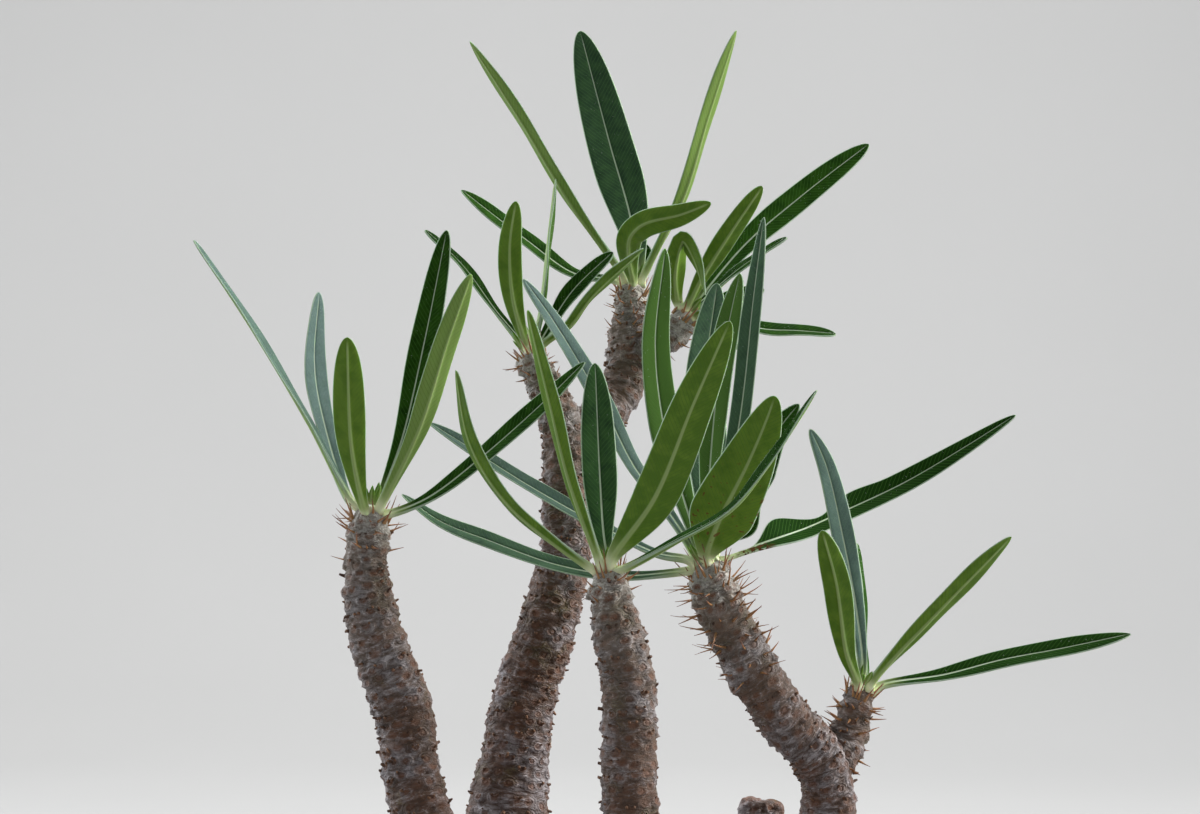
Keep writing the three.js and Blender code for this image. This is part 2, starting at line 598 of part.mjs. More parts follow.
function makeBark() {
  const limbs = Object.values(BRANCHES).map(makeBranch);
  const feet = FOOTED.map((name) => fromFront(BRANCHES[name][2]).sub(STEM_HEART).normalize());
  const wood = joined([makeStem(feet), ...limbs, ...makeStubKnobs()]);
  const spines = Object.entries(SPINES)
    .flatMap(([name, habit], i) => makeSpines(BRANCHES[name], habit, 101 + i))
    .filter((spine) => crowns.every(([, crown]) => spine.intersect(crown).isEmpty()));
  return toGeometry(joined([wood, ...spines]));
}

function named(name, geometry, color, roughness) {
  const material = new THREE.MeshStandardMaterial({ color, roughness, metalness: 0 });
  const mesh = new THREE.Mesh(geometry, material);
  mesh.name = name;
  return mesh;
}

const NODE_NAMES = {
  left: 'leaves_left',
  middle: 'leaves_middle',
  right: 'leaves_right',
  farRight: 'leaves_far_right',
  rearLeft: 'leaves_rear_left',
  rearTop: 'leaves_rear_top',
  rearSide: 'leaves_rear_side',
};

const plant = new THREE.Group();
plant.add(named('pot', makePot(), 0x3a3836, 0.75));
plant.add(named('soil', makeSoil(), 0x5b4636, 0.95));
plant.add(named('bark', makeBark(), 0x8d857e, 0.85));
crowns.forEach(([name, solid]) => {
  plant.add(named(NODE_NAMES[name], toGeometry(solid), 0x3f6b27, 0.55));
});

export default plant;
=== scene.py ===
import itertools

import bpy
import numpy as np
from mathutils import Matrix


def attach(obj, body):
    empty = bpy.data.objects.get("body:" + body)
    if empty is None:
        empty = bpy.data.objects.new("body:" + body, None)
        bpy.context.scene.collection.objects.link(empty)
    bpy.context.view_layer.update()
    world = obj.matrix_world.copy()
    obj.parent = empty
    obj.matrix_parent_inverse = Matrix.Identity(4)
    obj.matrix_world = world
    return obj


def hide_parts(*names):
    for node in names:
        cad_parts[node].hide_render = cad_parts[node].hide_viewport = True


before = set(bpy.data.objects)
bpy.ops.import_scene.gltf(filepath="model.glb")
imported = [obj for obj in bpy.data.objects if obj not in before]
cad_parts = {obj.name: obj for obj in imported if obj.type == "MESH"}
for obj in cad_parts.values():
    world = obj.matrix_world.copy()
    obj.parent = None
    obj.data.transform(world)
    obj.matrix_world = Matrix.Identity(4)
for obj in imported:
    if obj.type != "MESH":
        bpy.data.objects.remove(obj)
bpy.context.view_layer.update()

# Camera
# It stands where the photograph was taken from: level, in front of the plant, and far enough
# away that 240 mm fill the picture's width at the pot's axis.
MM = 0.001
EYE = np.array([-7, -667, 246.4]) * MM
SENSOR = 36.0
SEEN_WIDTH = 240 * MM

camera_data = bpy.data.cameras.new("camera")
camera_data.sensor_width = SENSOR
camera_data.lens = SENSOR * -EYE[1] / SEEN_WIDTH
camera_data.clip_start = 0.01
camera = bpy.data.objects.new("camera", camera_data)
camera.location = EYE
camera.rotation_euler = (np.pi / 2, 0, 0)
bpy.context.scene.collection.objects.link(camera)
bpy.context.scene.camera = camera


# Branches
# The limbs of the plant, grown in one piece with the swollen stem. Thin skin, silvery and brown,
# covers watery tissue in low pads, one for each leaf that fell, with a half-moon scar, a ridge
# below it and a pit at each upper corner, where the two spines of a pair stood.
BRANCHES = {  # rows of x and height as seen from the front, depth, and width, in millimetres
    "left": [
        (-20, 116, -5, 16), (-31, 134, -6, 20), (-38, 150, -5, 14.5), (-43.4, 167.8, -4, 12),
        (-45.2, 175.8, -3, 11.6), (-46, 183.8, -2, 11.8), (-48.6, 191.8, -2, 11.8),
        (-51.6, 199.8, -2, 11.4), (-53.3, 207.8, -2, 10), (-53.9, 214, -2, 8.6),
        (-53.5, 219.8, -2, 8.4), (-52.8, 224, -2, 7.6),
    ],
    "rear": [
        (-11, 108, 7, 14), (-20.5, 131, 15.5, 25), (-26, 150, 21, 21), (-25.2, 167.8, 23, 16),
        (-24, 175.8, 24, 14), (-23, 183.8, 25, 13.2), (-21.1, 191.8, 26, 12.4),
        (-18.4, 199.8, 26, 12.2), (-16.2, 207.8, 27, 11.4), (-14.2, 215.8, 28, 10.2),
        (-14.2, 231.8, 29, 9), (-14.2, 241, 30, 8.8), (-16.4, 247, 30, 7.6),
        (-18.9, 252.4, 30, 6.6), (-20.6, 256, 30, 6),
    ],
    "rearTop": [
        (-14, 233, 30, 8), (-11, 240.4, 33, 8.6), (-6, 245, 38, 8.6), (-2.8, 250, 42, 8.4),
        (-1.8, 258, 45, 7.8), (-1.2, 264, 47, 6.8), (-0.7, 269.2, 48, 6.2),
    ],
    "rearSide": [(-2, 254, 44, 5.4), (3, 258.4, 43, 6), (7.6, 261, 42, 6), (9.8, 264, 42, 5.8)],
    "middle": [
        (0, 116, -12, 16), (0, 133, -20, 20), (-0.4, 150, -23, 14), (-1, 167.8, -24, 11.2),
        (-1.2, 179.8, -24, 11.2), (-1.4, 191.8, -24, 10.8), (-3, 199.8, -24, 10.4),
        (-4.8, 207.8, -23, 8.4), (-5.4, 212, -22, 7.4),
    ],
    "right": [
        (19, 114, 2, 16), (30, 132, 2, 20), (36.4, 150, 2, 13.6), (38.8, 167.8, 1, 10.8),
        (36.8, 176, 0, 10.8), (31, 182.6, -3, 10.6), (27.2, 188, -5, 10.6),
        (22.6, 195.4, -6, 10.8), (18.8, 202.8, -7, 10.2), (17, 206.4, -8, 9.8),
        (15.6, 210.4, -8, 9), (14.7, 213, -8, 8.2),
    ],
    "farRight": [
        (38, 170, 2, 7), (41, 176.6, 3, 8.2), (42.8, 181, 4, 7.4), (43.8, 185.4, 4, 6.8),
        (45, 188.6, 4, 6.4),
    ],
    "stub": [
        (13, 116, 11, 10), (20, 134, 19, 12), (24, 150, 24, 8), (25.2, 161, 27, 6.4),
        (25, 167, 28, 6.6),
    ],
}
CROWNED = ("left", "rear", "rearTop", "rearSide", "middle", "right", "farRight")
FOOTED = ("left", "rear", "middle", "right", "stub")   # those that grow from the stem
BARK_STEP = 0.4 * MM  # from one point of the skin to the next
PAD_WIDTH = 3.5 * MM
PAD_HEIGHT = 2.6 * MM
PAD_SCATTER = 0.17    # of the way to the next pad, how far each lies off its place
PAD_PARTS = ("dome", "ridge", "scar", "eye")
# Relief of the skin in millimetres: of a pad in old skin, with what fresh skin and its square
# add, of the pad's other parts, and of the skin between
DOME_RISE = (0.51, 0.19, 0.45)
RIDGE_RISE, SCAR_DEPTH, EYE_DEPTH = 0.42, 0.26, 0.42
WRINKLE_RISE, LUMP_RISE = 0.26, 0.20
SKIN_DEPTH = (0.32, 0.2)   # of the skin below the branch's radius, and what fresh skin adds
WRINKLE_PITCH = 0.62 * MM  # along a branch
EYE_SIDE = 0.42       # of a pad's half width, from its middle to each spine pit
EYE_RISE = 0.34       # of a pad's half height
APART_MOST = 1.8      # the furthest from a pad's middle that is told apart, in pad sizes
SMOOTH_END = 0.26     # share of a footed branch's length over which its old skin is worn smooth
FRESH_REACH = 22 * MM  # over which the young skin below a crown turns to old skin
END_RISE = 0.66       # height of a crowned branch's round end, as a share of its radius
STUB_RISE = 0.25      # the same for the stub
DRY = 0.45            # how much of the young skin's colour the brown far right branch has
# The stem's profile, as rows of radius and height in millimetres, and its root's tip and top
STEM_PROFILE = [
    (8, 47.5), (19, 53), (29, 61), (37, 71), (43, 84), (46.6, 94), (48, 104), (47, 114),
    (43.4, 123), (37.4, 131), (29, 137.4), (17, 142),
]
ROOT_TIP = 45.5
STEM_TOP = 143.6
STEM_HEART = np.array([0, 0, 104]) * MM
STEM_WAVES = ((0.04, 3, 0.8), (0.02, 5, -1.1))   # share of its radius, waves round it, start
SHOULDER_RISE = 10 * MM   # of the stem under each branch
SHOULDER_SPREAD = 0.085   # how fast it falls off with 1 - cos of the angle to the branch
FILLET = 13 * MM      # how far from their meeting a branch and the stem run into each other


def from_front(rows):
    """Places in metres of rows [x, z, y, ...] in millimetres, measured on the upright plane
    through the pot's axis: a place further back is spread away from the eye by its reach, the
    distance from the eye over the plane's distance from it."""
    rows = np.asarray(rows, float)
    y = rows[:, 2] * MM
    reach = (y - EYE[1]) / -EYE[1]
    x = EYE[0] + (rows[:, 0] * MM - EYE[0]) * reach
    z = EYE[2] + (rows[:, 1] * MM - EYE[2]) * reach
    return np.stack([x, y, z], axis=1), reach


def curve_through(places, extras, count=1200):
    """Centripetal Catmull-Rom curve through places, with extras carried along it. Each span is
    a cubic whose end slopes weigh the neighbouring spans by the root of their lengths. Returns
    (length along, places, extras) at equal steps of the curve's parameter."""
    rows = np.hstack([places, extras])
    rows = np.vstack([2 * rows[0] - rows[1], rows, 2 * rows[-1] - rows[-2]])
    span = np.sqrt(np.linalg.norm(np.diff(rows[:, :3], axis=0), axis=1))[:, None]
    t = np.linspace(0, len(places) - 1, count)
    k = np.minimum(t.astype(int), len(places) - 2)
    w = (t - k)[:, None]
    p0, p1, p2, p3 = (rows[k + i] for i in range(4))
    d0, d1, d2 = (span[k + i] for i in range(3))
    m1 = ((p1 - p0) / d0 - (p2 - p0) / (d0 + d1) + (p2 - p1) / d1) * d1
    m2 = ((p2 - p1) / d1 - (p3 - p1) / (d1 + d2) + (p3 - p2) / d2) * d1
    curve = (
        (2 * w**3 - 3 * w**2 + 1) * p1 + (w**3 - 2 * w**2 + w) * m1
        + (3 * w**2 - 2 * w**3) * p2 + (w**3 - w**2) * m2
    )
    steps = np.linalg.norm(np.diff(curve[:, :3], axis=0), axis=1)
    return np.concatenate([[0], np.cumsum(steps)]), curve[:, :3], curve[:, 3:]


def at_lengths(lengths, samples, wanted):
    """Each column of samples read off at the wanted lengths."""
    return np.stack([np.interp(wanted, lengths, column) for column in samples.T], axis=1)


def unit(vectors):
    """Vectors at length one."""
    return vectors / np.linalg.norm(vectors, axis=-1, keepdims=True)


def walked(lengths, line, wanted):
    """Places on a line at the wanted lengths along it, and its directions there."""
    slopes = unit(np.gradient(line, lengths, axis=0))
    return at_lengths(lengths, line, wanted), unit(at_lengths(lengths, slopes, wanted))


def turned(side, deep, angle):
    """Directions at angles from side towards deep, the two directions across a line."""
    return side * np.cos(angle)[..., None] + deep * np.sin(angle)[..., None]


def round_axis(radius, angle, height):
    """Places at radii, angles and heights round the upright axis."""
    flat = radius * np.cos(angle), radius * np.sin(angle)
    return np.stack(np.broadcast_arrays(*flat, height), axis=-1)


def whole_turn(count):
    """That many equal steps of angle round a whole turn."""
    return np.linspace(0, 2 * np.pi, count, endpoint=False)


def rough(points, size, seed):
    """Value noise from -1 to 1: a seeded random number at each corner of a lattice of that
    size, blended smoothly between the eight corners round a point."""
    q = points / size
    cell = np.floor(q).astype(np.int64)
    f = q - cell
    f = f * f * (3 - 2 * f)
    total = np.zeros(points.shape[:-1])
    for corner in itertools.product((0, 1), repeat=3):
        c = (cell + np.array(corner)) * (73856093, 19349663, 83492791)
        h = c[..., 0] ^ c[..., 1] ^ c[..., 2] ^ (seed * 40503)
        h = (h & 0xFFFFFFFF) * 2654435761 & 0xFFFFFFFF
        h = ((h ^ (h >> 15)) * 1274126177) & 0xFFFFFFFF
        weight = np.prod(np.where(corner, f, 1 - f), axis=-1)
        total += weight * (((h ^ (h >> 13)) & 0xFFFFFF) / 0x800000 - 1)
    return total


def tubes(points):
    """Faces of n closed tubes from points of shape (n, rows, round, 3): quads between the
    rows, and a fan to the middle of each end row. Returns places, quads and triangles."""
    n, rows, around, _ = points.shape
    i, j = np.meshgrid(np.arange(rows - 1), np.arange(around), indexing="ij")
    after = (j + 1) % around
    quads = np.stack(
        [i * around + j, i * around + after, (i + 1) * around + after, (i + 1) * around + j],
        axis=-1,
    ).reshape(-1, 4)
    j = np.arange(around)
    after = (j + 1) % around
    low = np.stack([np.full(around, rows * around), after, j], axis=1)
    top = (rows - 1) * around
    high = np.stack([np.full(around, rows * around + 1), top + j, top + after], axis=1)
    start = (np.arange(n) * (rows * around + 2))[:, None, None]
    triangles = np.concatenate([low, high])
    return (
        on_tubes(points), (quads[None] + start).reshape(-1, 4),
        (triangles[None] + start).reshape(-1, 3),
    )


def on_tubes(values):
    """Numbers of shape (n, rows, round), or vectors of shape (n, rows, round, 3), as a list:
    each tube's own, then the means of its end rows for the middles of its ends."""
    n, rows, around = values.shape[:3]
    poles = values[:, [0, -1]].mean(axis=2)
    listed = np.concatenate([values.reshape(n, rows * around, *values.shape[3:]), poles], axis=1)
    return listed.reshape(-1, *values.shape[3:])


def tube_shapes(points, **values):
    """Closed tubes through points of shape (n, rows, round, 3), as (places, quads, triangles,
    values). A value is a vector for each point, or numbers that are spread over the points."""
    listed = {}
    for key, value in values.items():
        shape = points.shape if np.ndim(value) == 4 else points.shape[:3]
        listed[key] = on_tubes(np.broadcast_to(np.asarray(value, float), shape))
    return (*tubes(points), listed)


def joined(parts):
    """One (places, quads, triangles, values) of several, with the faces' numbers moved on."""
    starts = np.cumsum([0] + [len(part[0]) for part in parts])
    places, quads, triangles = (
        np.concatenate([part[i] + (start if i else 0) for part, start in zip(parts, starts)])
        for i in range(3)
    )
    values = {key: np.concatenate([part[3][key] for part in parts]) for key in parts[0][3]}
    return places, quads, triangles, values


def make_piece(name, shape, look, nodes):
    """A mesh object of (places, quads, triangles, values) that stands for nodes. Its faces are
    turned round if they enclose a negative volume, and each value becomes an attribute."""
    places, quads, triangles, values = shape
    corners = np.concatenate([quads[:, [0, 1, 2]], quads[:, [0, 2, 3]], triangles])
    a, b, c = (places[corners[:, i]] for i in range(3))
    if np.einsum("ij,ij->", a, np.cross(b, c)) < 0:
        quads, triangles = quads[:, ::-1], triangles[:, ::-1]
    order = np.concatenate([quads.ravel(), triangles.ravel()])
    starts = [np.arange(len(quads)) * 4, quads.size + np.arange(len(triangles)) * 3]
    mesh = bpy.data.meshes.new(name)
    mesh.vertices.add(len(places))
    mesh.vertices.foreach_set("co", places.astype(np.float32).ravel())
    mesh.loops.add(len(order))
    mesh.loops.foreach_set("vertex_index", order.astype(np.int32))
    mesh.polygons.add(len(quads) + len(triangles))
    mesh.polygons.foreach_set("loop_start", np.concatenate(starts).astype(np.int32))
    mesh.update(calc_edges=True)
    mesh.validate()
    mesh.shade_smooth()
    for key, value in values.items():
        kind, field = ("FLOAT_VECTOR", "vector") if value.ndim == 2 else ("FLOAT", "value")
        own = mesh.attributes.new(key, kind, "POINT")
        own.data.foreach_set(field, value.astype(np.float32).ravel())
    mesh.materials.append(look.material)
    piece = bpy.data.objects.new(name, mesh)
    bpy.context.scene.collection.objects.link(piece)
    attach(piece, "root")
    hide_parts(*nodes)
    return piece


class Wire:
    """One output of a node. Sums on it add Math nodes to its material."""

    def __init__(self, look, socket):
        self.look = look
        self.socket = socket

    def maths(self, operation, *values):
        return self.look.node("ShaderNodeMath", {"operation": operation}, dict(enumerate(values)))

    def __add__(self, other):
        return self.maths("ADD", self, other)

    def __radd__(self, other):
        return self.maths("ADD", other, self)

    def __sub__(self, other):
        return self.maths("SUBTRACT", self, other)

    def __rsub__(self, other):
        return self.maths("SUBTRACT", other, self)

    def __mul__(self, other):
        return self.maths("MULTIPLY", self, other)

    def __rmul__(self, other):
        return self.maths("MULTIPLY", other, self)

    def __truediv__(self, other):
        return self.maths("DIVIDE", self, other)

    def __rtruediv__(self, other):
        return self.maths("DIVIDE", other, self)

    def __abs__(self):
        return self.maths("ABSOLUTE", self)

    def sine(self):
        return self.maths("SINE", self)

    def largest(self, other):
        return self.maths("MAXIMUM", self, other)

    def step(self, start, end):
        """0 before start and 1 after end, smoothly in between; start may be the larger."""
        return self.look.node(
            "ShaderNodeMapRange", {"interpolation_type": "SMOOTHSTEP"},
            {"Value": self, "From Min": start, "From Max": end},
        )


class Look:
    """A material made of nodes, with one Principled shader."""

    def __init__(self, name, roughness=0.5, **constants):
        self.material = bpy.data.materials.new(name)
        self.material.use_nodes = True
        self.tree = self.material.node_tree
        self.shader = self.tree.nodes["Principled BSDF"]
        for key, value in {"roughness": roughness, **constants}.items():
            key = key.replace("_", " ").title().replace("Ior", "IOR")
            self.shader.inputs[key].default_value = value

    def node(self, kind, settings, inputs, out=0):
        """Adds a node of that type with its settings and the values or wires of its inputs."""
        node = self.tree.nodes.new(kind)
        for key, value in settings.items():
            if key == "stops":
                for extra in range(len(value) - 2):
                    node.color_ramp.elements.new(0.5)
                for element, (place, color) in zip(node.color_ramp.elements, value):
                    element.position = place
                    element.color = (*color, 1)
            else:
                setattr(node, key, value)
        for key, value in inputs.items():
            if isinstance(value, Wire):
                self.tree.links.new(value.socket, node.inputs[key])
            else:
                node.inputs[key].default_value = value
        return Wire(self, node.outputs[out])

    def value(self, name, out="Fac"):
        """The mesh's own value of that name, or its vector."""
        return self.node("ShaderNodeAttribute", {"attribute_name": name}, {}, out=out)

    def place(self):
        """Place on the piece, in metres."""
        return self.node("ShaderNodeTexCoord", {}, {}, out="Object")

    def stretched(self, vector, factors):
        """The vector with each of its parts times its factor."""
        return self.node("ShaderNodeVectorMath", {"operation": "MULTIPLY"}, {0: vector, 1: factors})

    def noise(self, vector, size, detail=3, roughness=0.55):
        """Soft noise from 0 to 1 whose lumps have that size in metres."""
        return self.node(
            "ShaderNodeTexNoise", {},
            {"Vector": vector, "Scale": 1 / size, "Detail": detail, "Roughness": roughness},
        )

    def coats(self, color, *coats):
        """The colour under coats of others, each with the share of it that covers."""
        for share, coat in coats:
            under, over = ((*c, 1) if isinstance(c, tuple) else c for c in (color, coat))
            color = self.node(
                "ShaderNodeMix", {"data_type": "RGBA"}, {0: share, 6: under, 7: over}, out=2,
            )
        return color

    def finish(self, color, roughness=None, relief=None, depth=None, strength=1.0):
        """Leads the colour into the shader, and where they are given the roughness and a
        relief, whose heights from 0 to 1 stand for that depth in metres."""
        if relief is not None:
            relief = self.node(
                "ShaderNodeBump", {}, {"Height": relief, "Distance": depth, "Strength": strength},
            )
        for key, wire in {"Base Color": color, "Roughness": roughness, "Normal": relief}.items():
            if wire is not None:
                self.tree.links.new(wire.socket, self.shader.inputs[key])
        return self


def branch_line(name):
    """Middle line of a branch: length along, places and radii."""
    rows = np.asarray(BRANCHES[name], float)
    places, reach = from_front(rows)
    lengths, line, extras = curve_through(places, (rows[:, 3] * MM / 2 * reach)[:, None])
    return lengths, line, extras[:, 0]


def across_line(along):
    """Two directions square to each of the lines' directions, the first as near +X as can be."""
    side = unit(np.array([1.0, 0, 0]) - along[:, :1] * along)
    return side, np.cross(along, side)


def branch_at(name, wanted):
    """Places, radii and frame of a branch at the wanted lengths along it: the direction of its
    line and two directions across."""
    lengths, line, radii = branch_line(name)
    place, along = walked(lengths, line, wanted)
    return place, np.interp(wanted, lengths, radii), along, *across_line(along)


def stem_swell(angle):
    """How much the stem is out of round: one plus a few soft waves round it."""
    return 1 + sum(height * np.sin(count * angle + start) for height, count, start in STEM_WAVES)


def stem_line():
    """The stem's profile from the root's tip to the top: length along, and radius, height, 0."""
    rows = np.array([(0.6, ROOT_TIP), *STEM_PROFILE, (0.6, STEM_TOP)]) * MM
    lengths, line, _ = curve_through(np.hstack([rows, rows[:, :1] * 0]), rows[:, :1])
    return lengths, line


def shoulders(out):
    """How far the stem swells in directions from its heart, with a shoulder under each
    branch: the rise times exp((cos - 1) / spread) of the angle to the branch."""
    total = 0
    for name in FOOTED:
        to_foot = unit(from_front(BRANCHES[name])[0][2] - STEM_HEART)
        total = total + np.exp((out @ to_foot - 1) / SHOULDER_SPREAD)
    return SHOULDER_RISE * total


def stem_gap(points):
    """How far points lie outside the stem's skin, in the line from its heart."""
    apart = points - STEM_HEART
    swell = stem_swell(np.arctan2(apart[..., 1], apart[..., 0]))
    flat, up = np.hypot(apart[..., 0], apart[..., 1]) / swell, apart[..., 2]
    radius, height = (stem_line()[1] - [0, STEM_HEART[2], 0]).T[:2]
    reach = np.interp(np.arctan2(up, flat), np.arctan2(height, radius), np.hypot(radius, height))
    return np.hypot(flat, up) - reach - shoulders(unit(apart))


def branch_gap(points, name):
    """How far points lie outside the skin of a branch's lower part, taken as a row of balls."""
    total = branch_line(name)[0][-1]
    middle, radii = branch_at(name, np.linspace(0.04, 0.62, 56) * total)[:2]
    gap = np.full(points.shape[:-1], np.inf)
    for place, radius in zip(middle, radii):
        gap = np.minimum(gap, np.linalg.norm(points - place, axis=-1) - radius)
    return gap


def fillet(gap):
    """How far each of two skins moves out where they meet, so that they run into each other:
    a quarter of the fillet where they cross, and nothing a fillet away."""
    return FILLET / 4 * np.clip(1 - np.abs(gap) / FILLET, 0, 1) ** 2


def pads_of(name, draw):
    """Middles (length, angle), sizes and strengths of the pads of a branch: one helix that has
    a whole number of pads and a half to a turn, so that each row lies on the gaps of the last."""
    lengths, _, radii = branch_line(name)
    turn_pads = np.round(2 * np.pi * np.median(radii) / PAD_WIDTH) + 0.5
    count = int(lengths[-1] / PAD_HEIGHT * turn_pads)
    k = np.arange(count)
    length = k / turn_pads * PAD_HEIGHT + draw.normal(0, PAD_SCATTER, count) * PAD_HEIGHT
    angle = (k + draw.normal(0, PAD_SCATTER, count)) / turn_pads * 2 * np.pi
    sizes = draw.uniform(0.72, 1.18, count)
    return length, angle % (2 * np.pi), sizes, draw.uniform(0.15, 1, (count, 3))


def pad_fields(s, theta, radii, pads):
    """Five fields on the grid of a branch, the first four the largest of all pads' own:
    dome  a flat-topped mound, 1 / (1 + e^6) with e the distance in pad sizes
    ridge the lower half of a ring at 0.8 of the pad's size
    scar  a low half-moon in the pad's middle
    eye   the two round pits at its upper corners
    apart the distance e to the nearest pad, up to APART_MOST"""
    grid = len(s), len(theta)
    fields = {key: np.zeros(grid) for key in PAD_PARTS}
    fields["apart"] = np.full(grid, APART_MOST)
    for length, angle, size, (strength, left_pit, right_pit) in zip(*pads):
        rows = slice(*np.searchsorted(s, (length - PAD_HEIGHT, length + PAD_HEIGHT)))
        if rows.start == rows.stop:
            continue
        v = (s[rows, None] - length) / (PAD_HEIGHT / 2 * size)
        turn = (theta[None] - angle + np.pi) % (2 * np.pi) - np.pi
        u = turn * radii[rows, None] / (PAD_WIDTH / 2 * size)
        e = np.hypot(u, v)
        lower = 1 / (1 + np.exp((v - 0.15) * 6))
        pits = np.exp(-(np.hypot((np.abs(u) - EYE_SIDE) / 0.19, (v - EYE_RISE) / 0.2) ** 2))
        own = {
            "dome": 1 / (1 + e**6) * strength,
            "ridge": np.exp(-((e - 0.78) / 0.17) ** 2) * lower * strength,
            "scar": np.exp(-(np.hypot(u / 0.5, (v + 0.08) / 0.42) ** 4)) * strength,
            "eye": pits * np.where(u < 0, left_pit, right_pit) ** 1.5,
        }
        for key, field in own.items():
            fields[key][rows] = np.maximum(fields[key][rows], field)
        fields["apart"][rows] = np.minimum(fields["apart"][rows], e)
    return fields


def branch_shape(name, seed):
    """The skin of a branch: its radius plus low relief, at each length and angle. The relief is
    the pads' mounds and ridges less their scars and pits, which fade out towards a worn foot,
    plus soft lumps and transverse wrinkles, which are noise drawn out round the branch. The
    mounds are highest in the young skin below a crown, and the end closes in a low dome."""
    crowned = name in CROWNED
    total = branch_line(name)[0][-1]
    s = np.linspace(0, total, int(total / BARK_STEP) + 1)
    middle, radii, along, side, deep = branch_at(name, s)
    theta = whole_turn(int(2 * np.pi * np.median(radii) / BARK_STEP))
    fields = pad_fields(s, theta, radii, pads_of(name, np.random.default_rng(seed)))
    fresh = np.exp((s - total) / FRESH_REACH)[:, None] * crowned
    grown = np.ones((len(s), 1))
    if name in FOOTED:
        foot = SMOOTH_END * total
        grown = np.clip((s[:, None] - foot * 0.55) / (foot * 0.45 + 1e-6), 0, 1)
    for key in PAD_PARTS:
        fields[key] = fields[key] * grown

    out = turned(side[:, None], deep[:, None], theta)
    skin = middle[:, None] + out * radii[:, None, None]
    ring = round_axis(1.5, theta, s[:, None] / WRINKLE_PITCH)
    ring = ring + [0, 0, 0.7] * rough(ring * [1, 1, 0.3] + seed, 1.0, seed + 3)[..., None]
    wrinkle = rough(ring, 1.0, seed) + 0.7 * rough(ring * [2.4, 2.4, 1.7], 1.0, seed + 1)
    lumps = rough(skin, 5 * MM, seed + 2) + 0.5 * rough(skin, 1.6 * MM, seed + 4)
    dome = DOME_RISE[0] + DOME_RISE[1] * fresh + DOME_RISE[2] * fresh**2
    relief = (
        dome * fields["dome"] + RIDGE_RISE * fields["ridge"] - SCAR_DEPTH * fields["scar"]
        - EYE_DEPTH * fields["eye"] + WRINKLE_RISE * wrinkle + LUMP_RISE * lumps
        - SKIN_DEPTH[0] - SKIN_DEPTH[1] * fresh**2
    ) * MM
    if name in FOOTED:
        relief = relief + fillet(stem_gap(skin))
    skin = middle[:, None] + out * (radii[:, None] + relief)[..., None]

    phi = np.linspace(0, np.pi / 2, 8)[1:-1, None, None]
    rise = radii[-1] * (END_RISE if crowned else STUB_RISE)
    cap = middle[-1] + (skin[-1] - middle[-1]) * np.cos(phi) + along[-1] * rise * np.sin(phi)
    level = np.concatenate([s, total + radii[-1] * phi.ravel()])[:, None]
    rows = np.minimum(np.arange(len(level)), len(s) - 1)
    values = {
        "pit": fields["eye"], "scar": fields["scar"],
        # ridge and groove also mask the bark's painted highlight on pad ridges and wrinkle crests and
        # its painted shade in the troughs between wrinkles
        "ridge": np.maximum(fields["ridge"], 0.45 * np.clip(wrinkle, 0, 1)),
        "groove": np.clip(1 - 0.7 * fields["dome"], 0, 1) * np.clip(0.35 - wrinkle, 0, 1),
        "young": fresh * (DRY if name == "farRight" else 1),
        "apart": fields["apart"] + (1 - grown) * 0.6,
    }
    return tube_shapes(
        np.concatenate([skin, cap])[None],
        unrolled=(round_axis(np.median(radii), theta, level) + seed * 0.05)[None],
        **{key: value[rows] for key, value in values.items()},
    )


RIPPLES = 14.0            # of the skin round a pad: radians for each pad size from its middle
BARK_DEPTH = 0.46 * MM    # of the finest relief, which is in the material alone


